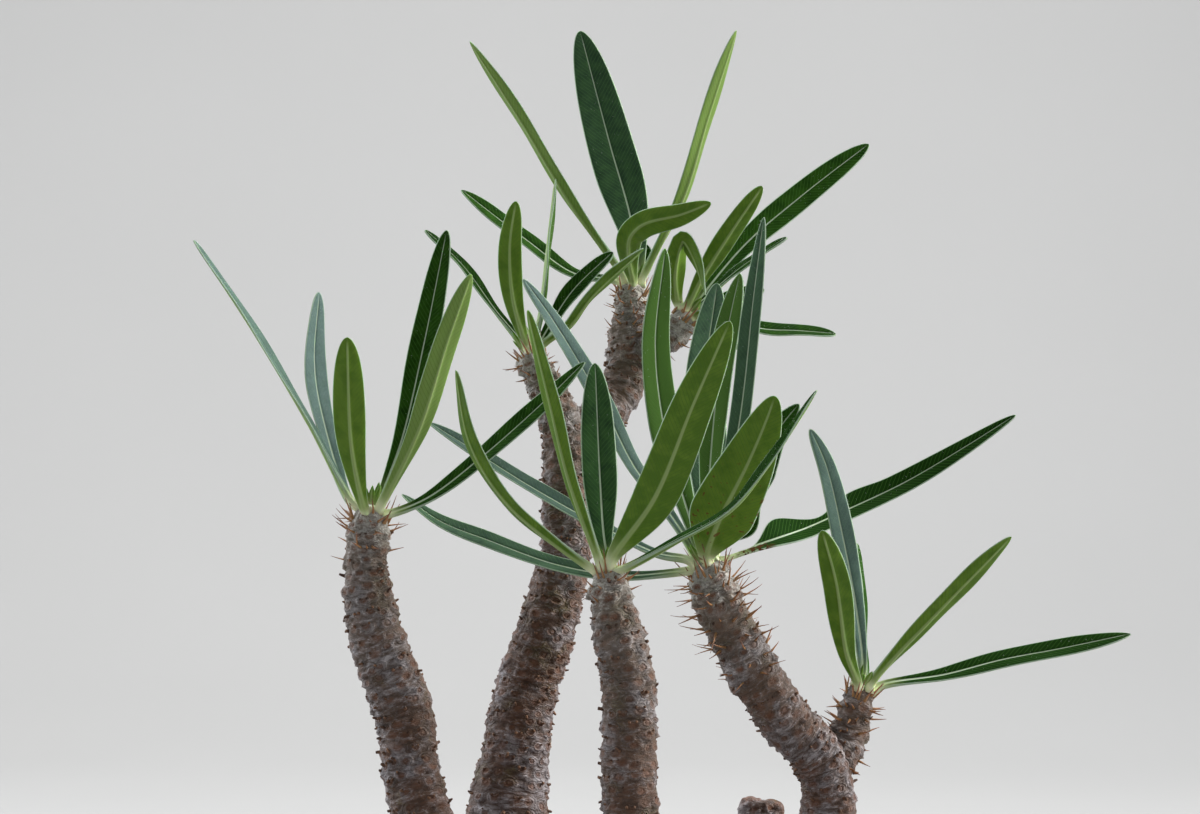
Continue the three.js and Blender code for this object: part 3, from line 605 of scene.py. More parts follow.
def bark_look():
    """Brown skin with silver patches, rusty pads, patches of olive, fine pale threads and dark
    pits, with a painted highlight on the ridges and painted shade in the grooves. Next to the
    crowns it is green-grey under white wool. The skin ripples in rings round each pad, with
    painted highlight on their crests and painted shade in their troughs."""
    look = Look("bark_skin", specular_ior_level=0.28)
    place = look.place()
    patch = look.noise(place, 9 * MM, detail=4)
    olive = look.noise(place, 5.5 * MM, detail=3, roughness=0.5)
    skin = look.value("unrolled", out="Vector")
    flakes = look.noise(look.stretched(skin, (1, 1, 3.0)), 1.9 * MM, detail=4, roughness=0.6)
    threads = look.noise(look.stretched(skin, (1, 1, 4.5)), 1.1 * MM, detail=3, roughness=0.55)
    grain = look.noise(place, 0.5 * MM, detail=4, roughness=0.7)
    flecks = look.noise(place, 0.24 * MM, detail=2)
    apart, silver, fresh = (look.value(key) for key in ("apart", "silver", "young"))
    # The rings of ripples round each pad are relief; their crests also get painted highlight and their
    # troughs painted shade.
    ripple = ((apart + (threads - 0.5) * 0.32 + (flecks - 0.5) * 0.12) * RIPPLES).sine()
    ripple = ripple * apart.step(1.5, 0.9) * olive.step(0.38, 0.58)
    silvered = (patch + silver * 0.09).step(0.42, 0.60)
    papery = flakes.step(0.52, 0.60) * threads.step(0.45, 0.56)
    # raised: mask of the painted highlight, on pad ridges and on the crests of wrinkles and ripples
    raised = look.value("ridge").largest(ripple.step(0.2, 0.95) * 0.42)
    woolly = (fresh * fresh * fresh * 1.15 + (flakes - 0.5) * 1.6).step(0.45, 1.0)
    # sunken: mask of the painted shade, in the grooves and in the troughs of wrinkles and ripples
    sunken = look.value("groove").largest(ripple.step(-0.1, -0.9) * 0.5)
    pitted = (look.value("pit") + (grain - 0.5) * 0.5).step(0.22, 0.6)
    scarred = look.value("scar") * (flecks.step(0.35, 0.6) * 0.8 + fresh * 0.5)
    brown, silver_grey, pale_grain = (0.092, 0.044, 0.023), (0.250, 0.226, 0.236), (0.36, 0.33, 0.34)
    rust, moss, crack = (0.104, 0.045, 0.022), (0.105, 0.080, 0.026), (0.052, 0.026, 0.017)
    paper, pad, shadow = (0.46, 0.425, 0.44), (0.140, 0.060, 0.033), (0.055, 0.028, 0.018)
    ridge_highlight, green_grey, wool = (0.52, 0.475, 0.485), (0.290, 0.272, 0.220), (0.58, 0.57, 0.52)
    red_brown, dark_brown = (0.150, 0.062, 0.032), (0.045, 0.020, 0.011)
    color = look.coats(
        brown,
        (silvered, silver_grey),
        (grain.step(0.44, 0.70) * (0.12 + silvered * 0.25), pale_grain),
        (olive.step(0.54, 0.42) * (0.8 - silver * 0.45), rust),
        (patch.step(0.5, 0.36) * olive.step(0.45, 0.60) * 0.8, moss),
        (flakes.step(0.49, 0.41) * (0.75 - silver * 0.35), crack),
        (papery * (0.3 + silvered * (0.45 - silver * 0.2)), paper),
        (apart.step(0.85, 0.30) * (0.62 - silver * 0.4), pad),
        # painted shade in the grooves and troughs
        (sunken * 0.85, shadow),
        # painted highlight on the ridges and crests
        (raised * grain.step(0.36, 0.60) * (0.3 + silvered * 0.35), ridge_highlight),
        (fresh * 0.42, green_grey),
        (woolly * grain.step(0.3, 0.6) * 0.65, wool),
        (scarred, red_brown),
        (pitted * 0.85, dark_brown),
    )
    relief = grain * 0.35 + flecks * 0.2 + flakes + threads * 0.6 + ripple * 0.3
    return look.finish(color, 0.52 + 0.3 * grain, relief, BARK_DEPTH)


bark_skin = bark_look()
for order, name in enumerate(BRANCHES):
    make_piece("bark_" + name, branch_shape(name, 11 + order), bark_skin, ["bark"])


STUB_KNOBS = [(23.2, 166.2, 28, 2.6), (27.2, 165.8, 28, 2.5)]  # rows as in BRANCHES, with a radius


def knob_shape(row, seed):
    """A ball whose radius varies with noise and that is hollow and rusty on top, for the
    stub's worn end."""
    middle, reach = from_front([row])
    phi = np.linspace(-np.pi / 2, np.pi / 2, 40)[1:-1, None]
    out = round_axis(np.cos(phi), whole_turn(60), np.sin(phi))
    up = out[..., 2]
    rolls = 0.10 * rough(out * [1, 1, 4] + seed, 0.8, seed) + 0.16 * rough(out + seed, 0.55, seed + 1)
    hollow = 0.34 * np.exp(-((1 - up) / 0.16) ** 2)
    skin = middle[0] + out * (row[3] * MM * reach[0] * (1 + rolls - hollow))[..., None]
    return tube_shapes(
        skin[None], unrolled=skin[None], pit=hollow * 1.6, scar=np.clip(1.5 * up - 0.3, 0, 0.9),
        # ridge and groove mask the bark's painted highlight on the knob's rolls and its painted shade
        # between them
        ridge=np.clip(rolls * 4, 0, 1), groove=np.clip(-rolls * 4, 0, 1), young=0,
        apart=2.2 - 1.7 * up,
    )


make_piece(
    "bark_stub_end", joined([knob_shape(row, 61 + 3 * i) for i, row in enumerate(STUB_KNOBS)]),
    bark_skin, ["bark"],
)


# Swollen stem
# The water store of the plant: a squat, nearly round body under thin silvery skin, with a
# shoulder below each branch and worn pads where its first leaves grew. It narrows into one root
# that stands in the soil.
SOIL_LEVEL = 84 * MM
STEM_STEP = 0.95 * MM
STEM_ROUND = 300
STEM_PADS = 260
STEM_BLEND = 6 * MM       # height over the soil in which the smooth root turns to bark
STEM_NUBS_TO = 138 * MM   # height up to which its pads have worn nubs


def stem_skin(length, angle):
    """Places on the stem's smooth skin at lengths along its profile and angles round it, with
    the directions they face from its heart, and 1 above the soil or 0 in it."""
    lengths, line = stem_line()
    radius = np.interp(length, lengths, line[:, 0]) * stem_swell(angle)
    height = np.interp(length, lengths, line[:, 1])
    place = round_axis(radius, angle, height)
    out = unit(place - STEM_HEART)
    above = np.clip((height - SOIL_LEVEL) / STEM_BLEND, 0, 1)
    place = place + out * (shoulders(out) * above)[..., None]
    gap = np.min([branch_gap(place, name) for name in FOOTED], axis=0)
    return place + out * (fillet(gap) * above)[..., None], out, above


def stem_pads():
    """Scattered pads, so many to each area: lengths and angles with sizes and strengths."""
    draw = np.random.default_rng(75)
    lengths, line = stem_line()
    length = draw.choice(lengths, STEM_PADS, p=line[:, 0] / line[:, 0].sum())
    return (
        length, draw.uniform(0, 2 * np.pi, STEM_PADS), draw.uniform(0.6, 1.25, STEM_PADS),
        draw.uniform(0.2, 1, (STEM_PADS, 3)),
    )


def stem_shape():
    """The stem's skin with soft lumps, fine level wrinkles and sparse worn pads."""
    lengths, line = stem_line()
    wanted = np.linspace(0, lengths[-1], int(lengths[-1] / STEM_STEP))
    theta = whole_turn(STEM_ROUND)
    skin, out, above = stem_skin(*np.broadcast_arrays(wanted[:, None], theta[None]))
    fields = pad_fields(wanted, theta, np.interp(wanted, lengths, line[:, 0]), stem_pads())
    wrinkle = (
        rough(skin * [0.3, 0.3, 1.0], 1.2 * MM, 71)
        + 0.6 * rough(skin * [0.2, 0.2, 1.0], 2.6 * MM, 76)
    )
    lumps = rough(skin, 11 * MM, 72) + 0.45 * rough(skin, 4 * MM, 73)
    relief = (
        0.16 * wrinkle + 0.5 * lumps + 0.35 * fields["dome"] + 0.2 * fields["ridge"]
        - 0.3 * fields["eye"]
    ) * MM * above
    skin = skin + out * relief[..., None]
    return tube_shapes(
        skin[None], unrolled=skin[None], pit=fields["eye"] * above,
        scar=fields["scar"] * 0.7 * above,
        # ridge and groove mask the bark's painted highlight on pad ridges and wrinkle crests and its
        # painted shade in wrinkle troughs
        ridge=np.maximum(fields["ridge"] * 0.6, np.clip(0.4 * wrinkle, 0, 1)),
        groove=np.clip(-0.3 * wrinkle + 0.06, 0, 1), young=0, silver=1, apart=fields["apart"],
    )


make_piece("bark_stem", stem_shape(), bark_skin, ["bark"])


# Spines
# Stiff needles of hard orange-brown tissue, a pair on each pad. They are long and sharp next to
# the crowns, and break down to short dark stubs as the bark ages.
SPINE_HABITS = {  # how far below the crown they are long, their length, and a stub's, in mm
    "left": (9, 4.4, 0.6), "rear": (6, 3.2, 0.5), "rearTop": (14, 2.6, 0.7),
    "rearSide": (10, 3.0, 0.7), "middle": (5, 3.4, 0.55), "right": (23, 5.0, 0.65),
    "farRight": (15, 3.4, 0.65),
}
SPINE_FOOT = 0.26 * MM    # radius of a spine where it leaves the bark
NUB_FOOT = 0.40 * MM      # the same of a worn stub
SPINE_SUNK = 0.35 * MM    # how deep a spine stands in the bark
NUB_SUNK = 0.4 * MM       # how deep a nub stands in the stem
SPINE_STEPS = np.array([0, 0.3, 0.65, 0.92])
SPINE_SIDES = 5
CROWN_PAIRS = 9           # of spines round the end of each branch
CROWN_SPINE = 4.2         # their least usual length, in millimetres
GOLDEN_ANGLE = 2.39996    # between one leaf or pair of spines and the next round a shoot
ASKEW = (0.31, 0.17, 0.93)    # a direction that no spine or hair points in


def spine_shapes(root, along, length, foot, bend, taper, worn):
    """Curved cones: rings round root + along * share * length, moved by bend * share squared,
    with a radius that falls from the foot by the taper. Worn is 1 for old stubs."""
    side = unit(np.cross(along, ASKEW))
    deep = np.cross(along, side)
    share = SPINE_STEPS[None, :, None]
    middle = root[:, None] + along[:, None] * share * length[:, None, None] + bend[:, None] * share**2
    radius = foot[:, None] * (1 - taper[:, None] * SPINE_STEPS[None] ** 0.8)
    ring = turned(side[:, None, None], deep[:, None, None], whole_turn(SPINE_SIDES))
    points = middle[:, :, None] + ring * radius[:, :, None, None]
    return tube_shapes(points, share=share, worn=worn[:, None, None])


def branch_end(name):
    """Place, radius and frame of the end of a branch."""
    return [a[0] for a in branch_at(name, branch_line(name)[0][-1:])]


def branch_spines(name, seed):
    """Spines at the pits of a branch's pads, leaning a little towards its tip, and those round
    its end."""
    fresh, long, stub = SPINE_HABITS[name]
    draw = np.random.default_rng(seed)
    length, angle, size, _ = pads_of(name, np.random.default_rng(seed))
    total = branch_line(name)[0][-1]
    below = total - length
    start = 0.3 * total if name in FOOTED else 0.05 * total
    kept = (length > start) & (below > 0.6 * MM)
    length, angle, size, below = (np.tile(a[kept], 2) for a in (length, angle, size, below))
    count = len(length)
    length = length + EYE_RISE * PAD_HEIGHT / 2 * size
    middle, radii, along, side, deep = branch_at(name, np.minimum(length, total - 0.2 * MM))
    turn = np.repeat([-1.0, 1.0], count // 2)
    out = turned(side, deep, angle + turn * EYE_SIDE * PAD_WIDTH / 2 * size / radii)
    far = below / (fresh * MM)
    is_long = (far < 1) & (draw.random(count) < 0.85 - 0.62 * far)
    size = np.where(
        is_long,
        long * MM * draw.uniform(0.6, 1.25, count) * (1 - 0.3 * far),
        stub * MM * draw.gamma(4, 0.24, count).clip(0.3, 1.6),
    )
    common = 0.42 + 0.5 * rough(middle + out * radii[:, None], 6 * MM, seed)
    kept = is_long | (draw.random(count) < common)
    lean = unit(out + along * draw.uniform(-0.1, 0.55, (count, 1)) + draw.normal(0, 0.22, (count, 3)))
    root = middle + out * (radii - SPINE_SUNK)[:, None]
    foot = np.where(is_long, SPINE_FOOT, NUB_FOOT) * draw.uniform(0.75, 1.25, count)
    bend = along * draw.uniform(-0.1, 0.22, (count, 1)) + draw.normal(0, 0.10, (count, 3))
    taper = np.where(is_long, 0.9, draw.uniform(0.3, 0.75, count))
    parts = root, lean, size + SPINE_SUNK, foot, bend * size[:, None], taper, ~is_long
    return joined([spine_shapes(*(part[kept] for part in parts)), crown_spines(name, long, draw)])


def crown_spines(name, long, draw):
    """Pairs of long spines round the branch's end, which stand up between the leaf stalks and
    lean outwards a little."""
    middle, radius, along, side, deep = branch_end(name)
    count = 2 * CROWN_PAIRS
    angle = np.repeat(np.arange(CROWN_PAIRS) * GOLDEN_ANGLE, 2) + np.tile([-0.13, 0.13], CROWN_PAIRS)
    out = turned(side, deep, angle + draw.normal(0, 0.06, count))
    rise = np.repeat(draw.uniform(0.05, 0.6, CROWN_PAIRS), 2)[:, None]
    root = middle + out * (radius * (0.96 - 0.42 * rise)) + along * (radius * (rise - 0.3))
    lean = unit(out * draw.uniform(0.1, 0.7, (count, 1)) + along + draw.normal(0, 0.1, (count, 3)))
    size = max(long, CROWN_SPINE) * MM * draw.uniform(0.75, 1.35, count)
    bend = draw.normal(0, 0.07, (count, 3)) * size[:, None]
    foot = SPINE_FOOT * draw.uniform(1.0, 1.4, count)
    return spine_shapes(root, lean, size, foot, bend, np.full(count, 0.88), np.zeros(count))


def stem_spines(draw):
    """Worn nubs in pairs on the stem's pads."""
    length, angle, size = (np.tile(a, 2) for a in stem_pads()[:3])
    length = length + EYE_RISE * PAD_HEIGHT / 2 * size
    lengths, line = stem_line()
    turn = np.repeat([-1.0, 1.0], STEM_PADS) * EYE_SIDE * PAD_WIDTH / 2 * size
    angle = angle + turn / np.interp(length, lengths, line[:, 0])
    place, out, above = stem_skin(length, angle)
    kept = (above > 0.9) & (draw.random(len(length)) < 0.6) & (place[:, 2] < STEM_NUBS_TO)
    place, out = place[kept], out[kept]
    count = len(place)
    lean = unit(out + draw.normal(0, 0.16, (count, 3)))
    length = draw.uniform(0.5, 1.0, count) * MM + NUB_SUNK
    foot = NUB_FOOT * draw.uniform(0.7, 1.15, count)
    bend = draw.normal(0, 0.05, (count, 3)) * MM
    taper = draw.uniform(0.35, 0.8, count)
    return spine_shapes(place - out * NUB_SUNK, lean, length, foot, bend, taper, np.ones(count))


def spine_look():
    """Orange-brown with a paler foot and a red-brown tip; old stubs are dark and dull."""
    look = Look("spine_horn", roughness=0.5)
    stops = [(0.0, (0.40, 0.23, 0.10)), (0.45, (0.34, 0.145, 0.055)), (1.0, (0.11, 0.032, 0.018))]
    fresh = look.node("ShaderNodeValToRGB", {"stops": stops}, {"Fac": look.value("share")})
    blotch = look.noise(look.place(), 0.8 * MM).step(0.4, 0.65)
    old = look.coats((0.070, 0.034, 0.020), (blotch, (0.21, 0.105, 0.055)))
    worn = look.value("worn")
    return look.finish(look.coats(fresh, (worn, old)), 0.45 + 0.3 * worn)


spine_horn = spine_look()
for order, name in enumerate(BRANCHES):
    if name in SPINE_HABITS:
        make_piece("spines_" + name, branch_spines(name, 11 + order), spine_horn, ["bark"])
make_piece("spines_stem", stem_spines(np.random.default_rng(81)), spine_horn, ["bark"])


# Leaves
# Narrow, leathery blades on short pale stalks, in a whorl round each shoot tip. The upper face
# is dark green under short white hairs, with a sunken midrib; the under face is smooth and
# yellow-green, with a raised one. Fine veins run slantwise to a thin white margin.
CROWNS = {
    # Each line has rows of x, height and depth as the branches have. Width is in millimetres,
    # and turn is the angle in degrees from the eye to the upper face. Peak is where along it
    # the blade is widest, and fold how far its sides rise. tone is how light
    # the leaf is: random where it is not given, and where it is given, high values paint the
    # glow of light shining through a backlit leaf and low ones darken a leaf as painted shade.
    # hoary is the blue-grey sheen of the upper face's hairs, painted into its colour.
    "left": [
        dict(line=[(-56.6, 227.8, -2), (-64.8, 242.8, 0), (-76.4, 262, 2), (-88.2, 279.8, 4)],
             width=5, turn=76, hoary=0.8),
        dict(line=[(-57, 227.6, 0), (-62.8, 245.6, 4), (-64.2, 255.6, 8), (-63.2, 269.4, 12)],
             width=5.6, turn=38, hoary=1.25),
        dict(line=[(-53.8, 225.4, -5), (-56.6, 237.8, -12), (-57.6, 260.4, -22)],
             width=6.4, turn=176),
        dict(line=[(-50.8, 228, 0), (-46.6, 239.8, 4), (-42, 259.8, 9), (-37.6, 281.8, 14)],
             width=6, turn=-22, tone=0.8),
        dict(line=[(-51, 226.4, -4), (-43.4, 241.8, -8), (-37.4, 260.2, -12), (-32.8, 273, -15)],
             width=5.6, turn=-152, tone=2.2),
        dict(line=[(-49.6, 225, -3), (-42, 227.8, -4), (-30.8, 236.2, -6), (-18.6, 247, -8),
                   (-10, 255.4, -8)], width=5, turn=-42),
    ],
    "middle": [
        dict(line=[(-8.4, 214, -23), (-24.6, 226.4, -26), (-32.6, 238.6, -27), (-35.8, 253.8, -28)],
             width=4.6, turn=124),
        dict(line=[(-7.4, 216.4, -24), (-13, 231.8, -28), (-17.2, 248.6, -30), (-21.4, 265.8, -32)],
             width=4.6, turn=132),
        dict(line=[(-6, 218.8, -21), (-7, 231.8, -16), (-8, 255.2, -8)], width=7, turn=8,
             peak=0.5, fold=0.12, hoary=0.14),
        dict(line=[(-4.6, 216, -25), (3.8, 228, -33), (11.6, 246.8, -44), (19, 263.6, -52)],
             width=8.8, turn=-176, peak=0.38, fold=0.12),
        dict(line=[(-2.4, 214.2, -25), (8.8, 220, -28), (19.2, 226, -31), (26.2, 234.4, -35),
                   (36.4, 249.8, -39)], width=4.6, turn=-74, fold=0.3),
    ],
    "right": [
        dict(line=[(11.4, 217.8, -6), (6, 226.2, -3), (-0.2, 234.4, 0), (-7, 247.8, 3),
                   (-16.4, 263.6, 6), (-22.4, 272, 8)], width=5.2, turn=40, hoary=1.1),
        dict(line=[(11.4, 222.4, -6), (8.4, 232.4, -3), (5.6, 243.2, 0), (4, 259.2, 4),
                   (6, 278.2, 7)], width=7, turn=26, peak=0.46, tone=2.1),
        dict(line=[(14.6, 217, -6), (16.2, 247.8, 6), (19, 264, 9), (21, 273.2, 12)],
             width=6, turn=-22, tone=2.7),
        dict(line=[(16, 217.4, -7), (20.6, 241.2, -4), (22, 251.2, -2), (23.6, 266.8, 0),
                   (25.8, 284.4, 2)], width=5, turn=-32, peak=0.48, tone=1.2, hoary=0.4),
        dict(line=[(14.8, 217, -5), (14.6, 231, 4), (14, 251.8, 14), (16.4, 271.2, 22)],
             width=8.6, turn=8, peak=0.5, fold=0.12, hoary=0.4),
        dict(line=[(14.4, 216.4, -11), (16, 221.8, -15), (22.6, 235.2, -27), (26.2, 243.6, -33),
                   (28, 248.6, -36)], width=12.8, turn=-178, peak=0.3, fold=0.08, taper=1.5,
             spots=1.0),
        dict(line=[(17.4, 216, -8), (26, 219.2, -4), (34.4, 222.2, 4), (42, 225.6, 10),
                   (54.2, 231.4, 14), (66.4, 238.6, 15), (76.2, 244.8, 15)], width=5.8,
             turn=-34, peak=0.4, wave=(1.5, 0.1, 3.3), scorch=1.0, tone=-2.5),
        dict(line=[(16, 217, -9), (20, 221.4, -10), (23.4, 227, -12), (25.8, 234, -14),
                   (28.8, 241.8, -16), (32.8, 247, -18)], width=5.6, turn=-20, peak=0.5,
             wave=(0.1, 1.2, 2.66)),
        dict(line=[(11, 215.6, -9), (4.4, 217, -10), (-7, 222.6, -9), (-21.6, 230.8, -5),
                   (-33.8, 238.6, 0), (-41.4, 243.4, 3)], width=4.8, turn=52, fold=0.35,
             hoary=0.7),
        dict(line=[(10.4, 213.6, -9), (-1.8, 212.6, -8), (-15, 214.6, -5), (-29.2, 219.6, 0),
                   (-39.2, 223.6, 4), (-46.6, 229, 7)], width=4.8, turn=48, hoary=0.4),
    ],
    "farRight": [
        dict(line=[(45.2, 192.6, 4), (44.4, 204.6, 2), (41.4, 221, -1), (38.2, 234.6, -3),
                   (35, 242, -4)], width=5, turn=24, hoary=0.9),
        dict(line=[(44.4, 191.6, 1), (42.4, 197, -3), (40.2, 211.6, -11), (37.4, 221.8, -16)],
             width=5.6, turn=176),
        dict(line=[(46.2, 192.6, 5), (45.9, 199, 7), (45.4, 211.6, 9), (44.4, 219.2, 10)],
             width=4, turn=78),
        dict(line=[(47.4, 191.4, 3), (58.8, 203.8, -4), (67.4, 212.6, -9), (75.2, 220.6, -14)],
             width=4.8, turn=-138),
        dict(line=[(49, 190.6, 4), (61.8, 192.8, 6), (73.4, 195.8, 8), (85, 198, 9),
                   (99.2, 201, 10)], width=5.2, turn=-42, tone=-3.0),
    ],
    "rear": [
        dict(line=[(-21.8, 259, 28), (-24.4, 268.2, 21), (-25, 278.6, 15), (-23.8, 287.6, 11)],
             width=5, turn=174),
        dict(line=[(-22.4, 258.6, 31), (-28, 265.8, 33), (-34.8, 275, 36), (-42, 281.8, 38)],
             width=4.4, turn=64),
        dict(line=[(-20, 259, 32), (-18.8, 264, 33), (-17.4, 277.4, 37), (-15.8, 292, 40)],
             width=4, turn=82, tone=2.0),
        dict(line=[(-18.8, 259.4, 31), (-12.6, 269.4, 33), (-4.4, 277.4, 34)], width=4.8, turn=-40),
        dict(line=[(-18, 259.4, 29), (-13.4, 262.6, 26), (-8.8, 268.6, 22), (1.6, 278.2, 15)],
             width=4, turn=-122),
    ],
    "rearTop": [
        dict(line=[(-2, 272, 47), (-12.2, 286.4, 43), (-23, 304.2, 39), (-33, 319.6, 36)],
             width=4.8, turn=124, tone=1.9),
        dict(line=[(0.8, 273, 49), (-1, 284.6, 55), (-5, 298.8, 62), (-11, 321.6, 70)],
             width=10.4, turn=10, peak=0.46, fold=0.12, hoary=0.2),
        dict(line=[(1.4, 272, 48), (9.8, 289.2, 46), (14.4, 304.2, 45), (20.2, 321.8, 44)],
             width=5, turn=-126, tone=1.9),
        dict(line=[(-0.4, 271.4, 45), (-1.2, 276, 39), (-0.9, 280.4, 34), (2, 283, 31),
                   (9, 284.8, 29), (15.2, 287.2, 29)], width=5.8, turn=180, peak=0.5),
        dict(line=[(-3.4, 271.6, 48), (-12, 273, 50), (-21.8, 279.8, 53), (-34.8, 289.8, 56)],
             width=5.2, turn=50),
        dict(line=[(1, 272, 50), (1.9, 275.4, 51), (2, 279, 52)], width=3.6, turn=8),
    ],
    "rearSide": [
        dict(line=[(8.4, 268, 41), (8, 273.8, 36), (9.6, 279.6, 33), (12, 276, 31),
                   (14.2, 268.8, 30)], width=5.2, turn=176, turn_end=262, peak=0.36),
        dict(line=[(10, 266, 41), (13.4, 272.4, 37), (19.4, 281.8, 31), (25.4, 290.6, 27)],
             width=4.8, turn=-160),
        dict(line=[(12, 266.6, 43), (21.8, 278.6, 50), (33.6, 288.8, 57), (46.8, 299, 63)],
             width=6.2, turn=-18),
        dict(line=[(12, 265.6, 42), (19.6, 273, 41), (30.4, 280.4, 40)], width=3.8, turn=-66),
        dict(line=[(13.8, 265, 42), (25.4, 262, 44), (32.6, 261.6, 45), (40.2, 261, 46)],
             width=4.8, turn=-56),
        dict(line=[(12.8, 265, 40), (16, 262.4, 38), (20.6, 258, 37)], width=4.4, turn=-130),
        dict(line=[(12, 264.8, 44), (18, 267.4, 48), (25.8, 270, 52)], width=4.6, turn=-30),
    ],
}
LEAF_NODES = {
    "left": "leaves_left", "middle": "leaves_middle", "right": "leaves_right",
    "farRight": "leaves_far_right", "rear": "leaves_rear_left", "rearTop": "leaves_rear_top",
    "rearSide": "leaves_rear_side",
}
VEIN_PITCH = 1.1          # millimetres from one side vein of a blade to the next
VEIN_SLANT = 1.2          # how far a side vein runs along the blade for each step across it
STALK = 0.7 * MM          # half the width of a leaf's stalk
STALK_FLARE = 0.7         # how much wider the stalk's foot is
LEAF_STATIONS = 84        # sections along a blade, closer together towards its tip
LAST_STATION = 0.9994     # share of the blade's length at which it closes
HALF_SECTION = np.array([0, 0.05, 0.11, 0.19, 0.3, 0.44, 0.6, 0.76, 0.89, 0.965, 1])
BLADE = 0.25 * MM         # half the thickness of a blade
STALK_MORE = 0.24 * MM    # how much more it is at the stalk
MARGIN_SWAY = 0.16 * MM   # height of the waves in a blade's margins
RIB = (0.26, 0.5)         # width of the midrib at the tip, and how much more at the foot, in mm
RIB_SUNK = 0.17 * MM      # depth of the midrib in the upper face
RIB_SWELL = (0.16, 0.5)   # height of the midrib under the under face, as RIB
LEAF_ROOT = 0.4           # height of the leaves' roots over the branch's last ring, in its radii
LEAF_SPREAD = 0.56        # of the roots from the branch's middle, in its radii
SHOOT_SHARE = 0.5         # radius of the shoot tip, in the branch's end's
SHOOT_RISE = 1.3          # height of the shoot tip, in its own radii
SHOOT_FOOT = 0.3 * MM     # height of its lowest ring over the branch's last one
YOUNG_LEAVES = 6          # round each shoot tip
YOUNG_WIDTH = 0.75 * MM   # half of theirs
PLAIN = dict.fromkeys(("upper", "tone", "spots", "scorch", "hoary"), 0)   # values of a shoot
HAIRS_PER_LEAF = 130
HAIR_FOOT = 0.022 * MM


def half_width(share, width, peak, taper):
    """Half the blade's width: a slim stalk that widens to the peak in a quarter wave, then a
    long oval to a blunt tip."""
    full = width / 2
    rise = np.sin(np.clip(share / peak, 0, 1) * np.pi / 2) ** 1.35
    beyond = np.clip((share - peak) / (1 - peak), 0, 1)
    stalk = STALK * (1 + STALK_FLARE * np.exp(-share / 0.045))
    return np.where(share < peak, stalk + (full - STALK) * rise, full * (1 - beyond**taper) ** 0.53)


def leaf_shape(root, leaf, seed):
    """A closed blade: stations along its line, each with a section that runs over the upper
    face and back under it. Both faces lie half the blade's thickness from a fold, and the
    midrib is a bell curve that sinks the upper face and swells the under one. Returns the
    blade, and the feet and directions of its hairs."""
    draw = np.random.default_rng(seed)
    places = np.vstack([root, from_front(leaf["line"])[0]])
    lengths, line, _ = curve_through(places, np.zeros((len(places), 1)))
    share = 1 - (1 - np.linspace(0, 1, LEAF_STATIONS)) ** 1.35
    share[-1] = LAST_STATION
    point, along = walked(lengths, line, share * lengths[-1])
    to_eye = EYE - point
    front = unit(to_eye - np.sum(to_eye * along, axis=1, keepdims=True) * along)
    turn = np.radians(leaf["turn"] + (leaf.get("turn_end", leaf["turn"]) - leaf["turn"]) * share)
    up = turned(front, np.cross(along, front), turn)
    right = np.cross(along, up)

    share = share[:, None]
    over = np.concatenate([-HALF_SECTION[::-1], HALF_SECTION[1:]])
    across = np.concatenate([over, over[-2:0:-1]])
    is_upper = np.arange(len(across)) < len(over)
    half = half_width(share, leaf["width"] * MM, leaf.get("peak", 0.6), leaf.get("taper", 2.3))
    wave_left, wave_right, waves = leaf.get("wave", (0, 0, 0))
    ripple = np.sin(share * waves * 2 * np.pi) * np.clip(1 - share / 0.62, 0, None)
    reach = 1 - np.where(across < 0, wave_left, wave_right) * ripple
    x = across * half * reach
    stalky = np.clip(1 - share / 0.3, 0, 1)
    tip = np.clip((1 - share) / 0.06, 0, 1)
    lift = leaf.get("fold", 0.2) * (half - STALK) * np.abs(across) ** 1.25
    sway = np.sin(share * 15 + draw.uniform(0, 2 * np.pi) + across) * across**2 * (1 - stalky)
    thick = (BLADE + STALK_MORE * stalky) * np.sqrt(1 - across**6) * tip**0.3
    rib = (RIB[0] + RIB[1] * (1 - share) ** 1.6) * MM
    swell = (RIB_SWELL[0] + RIB_SWELL[1] * (1 - share) ** 1.5) * MM
    swell = swell * np.exp(-((x / rib) ** 2)) * tip
    sunk = RIB_SUNK * np.exp(-((x / (rib * 0.62)) ** 2)) * tip
    height = lift + np.where(is_upper, thick - sunk, -thick - swell) + MARGIN_SWAY * sway
    skin = point[:, None] + right[:, None] * x[..., None] + up[:, None] * height[..., None]
    blade = tube_shapes(
        skin[None], upper=is_upper, across=x / MM,
        distance=share * lengths[-1] / MM + draw.uniform(0, 40),
        edge=(1 - np.abs(across)) * half * reach / MM, rib=rib / MM,
        stalk=np.clip(1 - share / 0.2, 0, 1), share=share,
        tone=leaf.get("tone", draw.uniform(-1, 1)),
        **{key: leaf.get(key, 0) for key in ("spots", "scorch", "hoary")},
    )
    return blade, hair_feet(skin, over, up, right, draw)


def hair_feet(skin, over, up, right, draw):
    """Feet and directions of hairs on a blade's upper face, half of them along its margins."""
    count = int(HAIRS_PER_LEAF * draw.uniform(0.8, 1.2))
    row = draw.integers(int(0.12 * len(skin)), len(skin) - 3, count)
    column = draw.integers(1, len(over) - 1, count)
    at_margin = draw.random(count) < 0.5
    column = np.where(at_margin, draw.choice([1, len(over) - 2], count), column)
    share = draw.random((count, 1))
    foot = skin[row, column] * (1 - share) + skin[row + 1, column] * share
    outwards = right[row] * over[column][:, None] ** 3 * 1.6
    return foot, unit(up[row] + outwards + draw.normal(0, 0.28, (count, 3)))


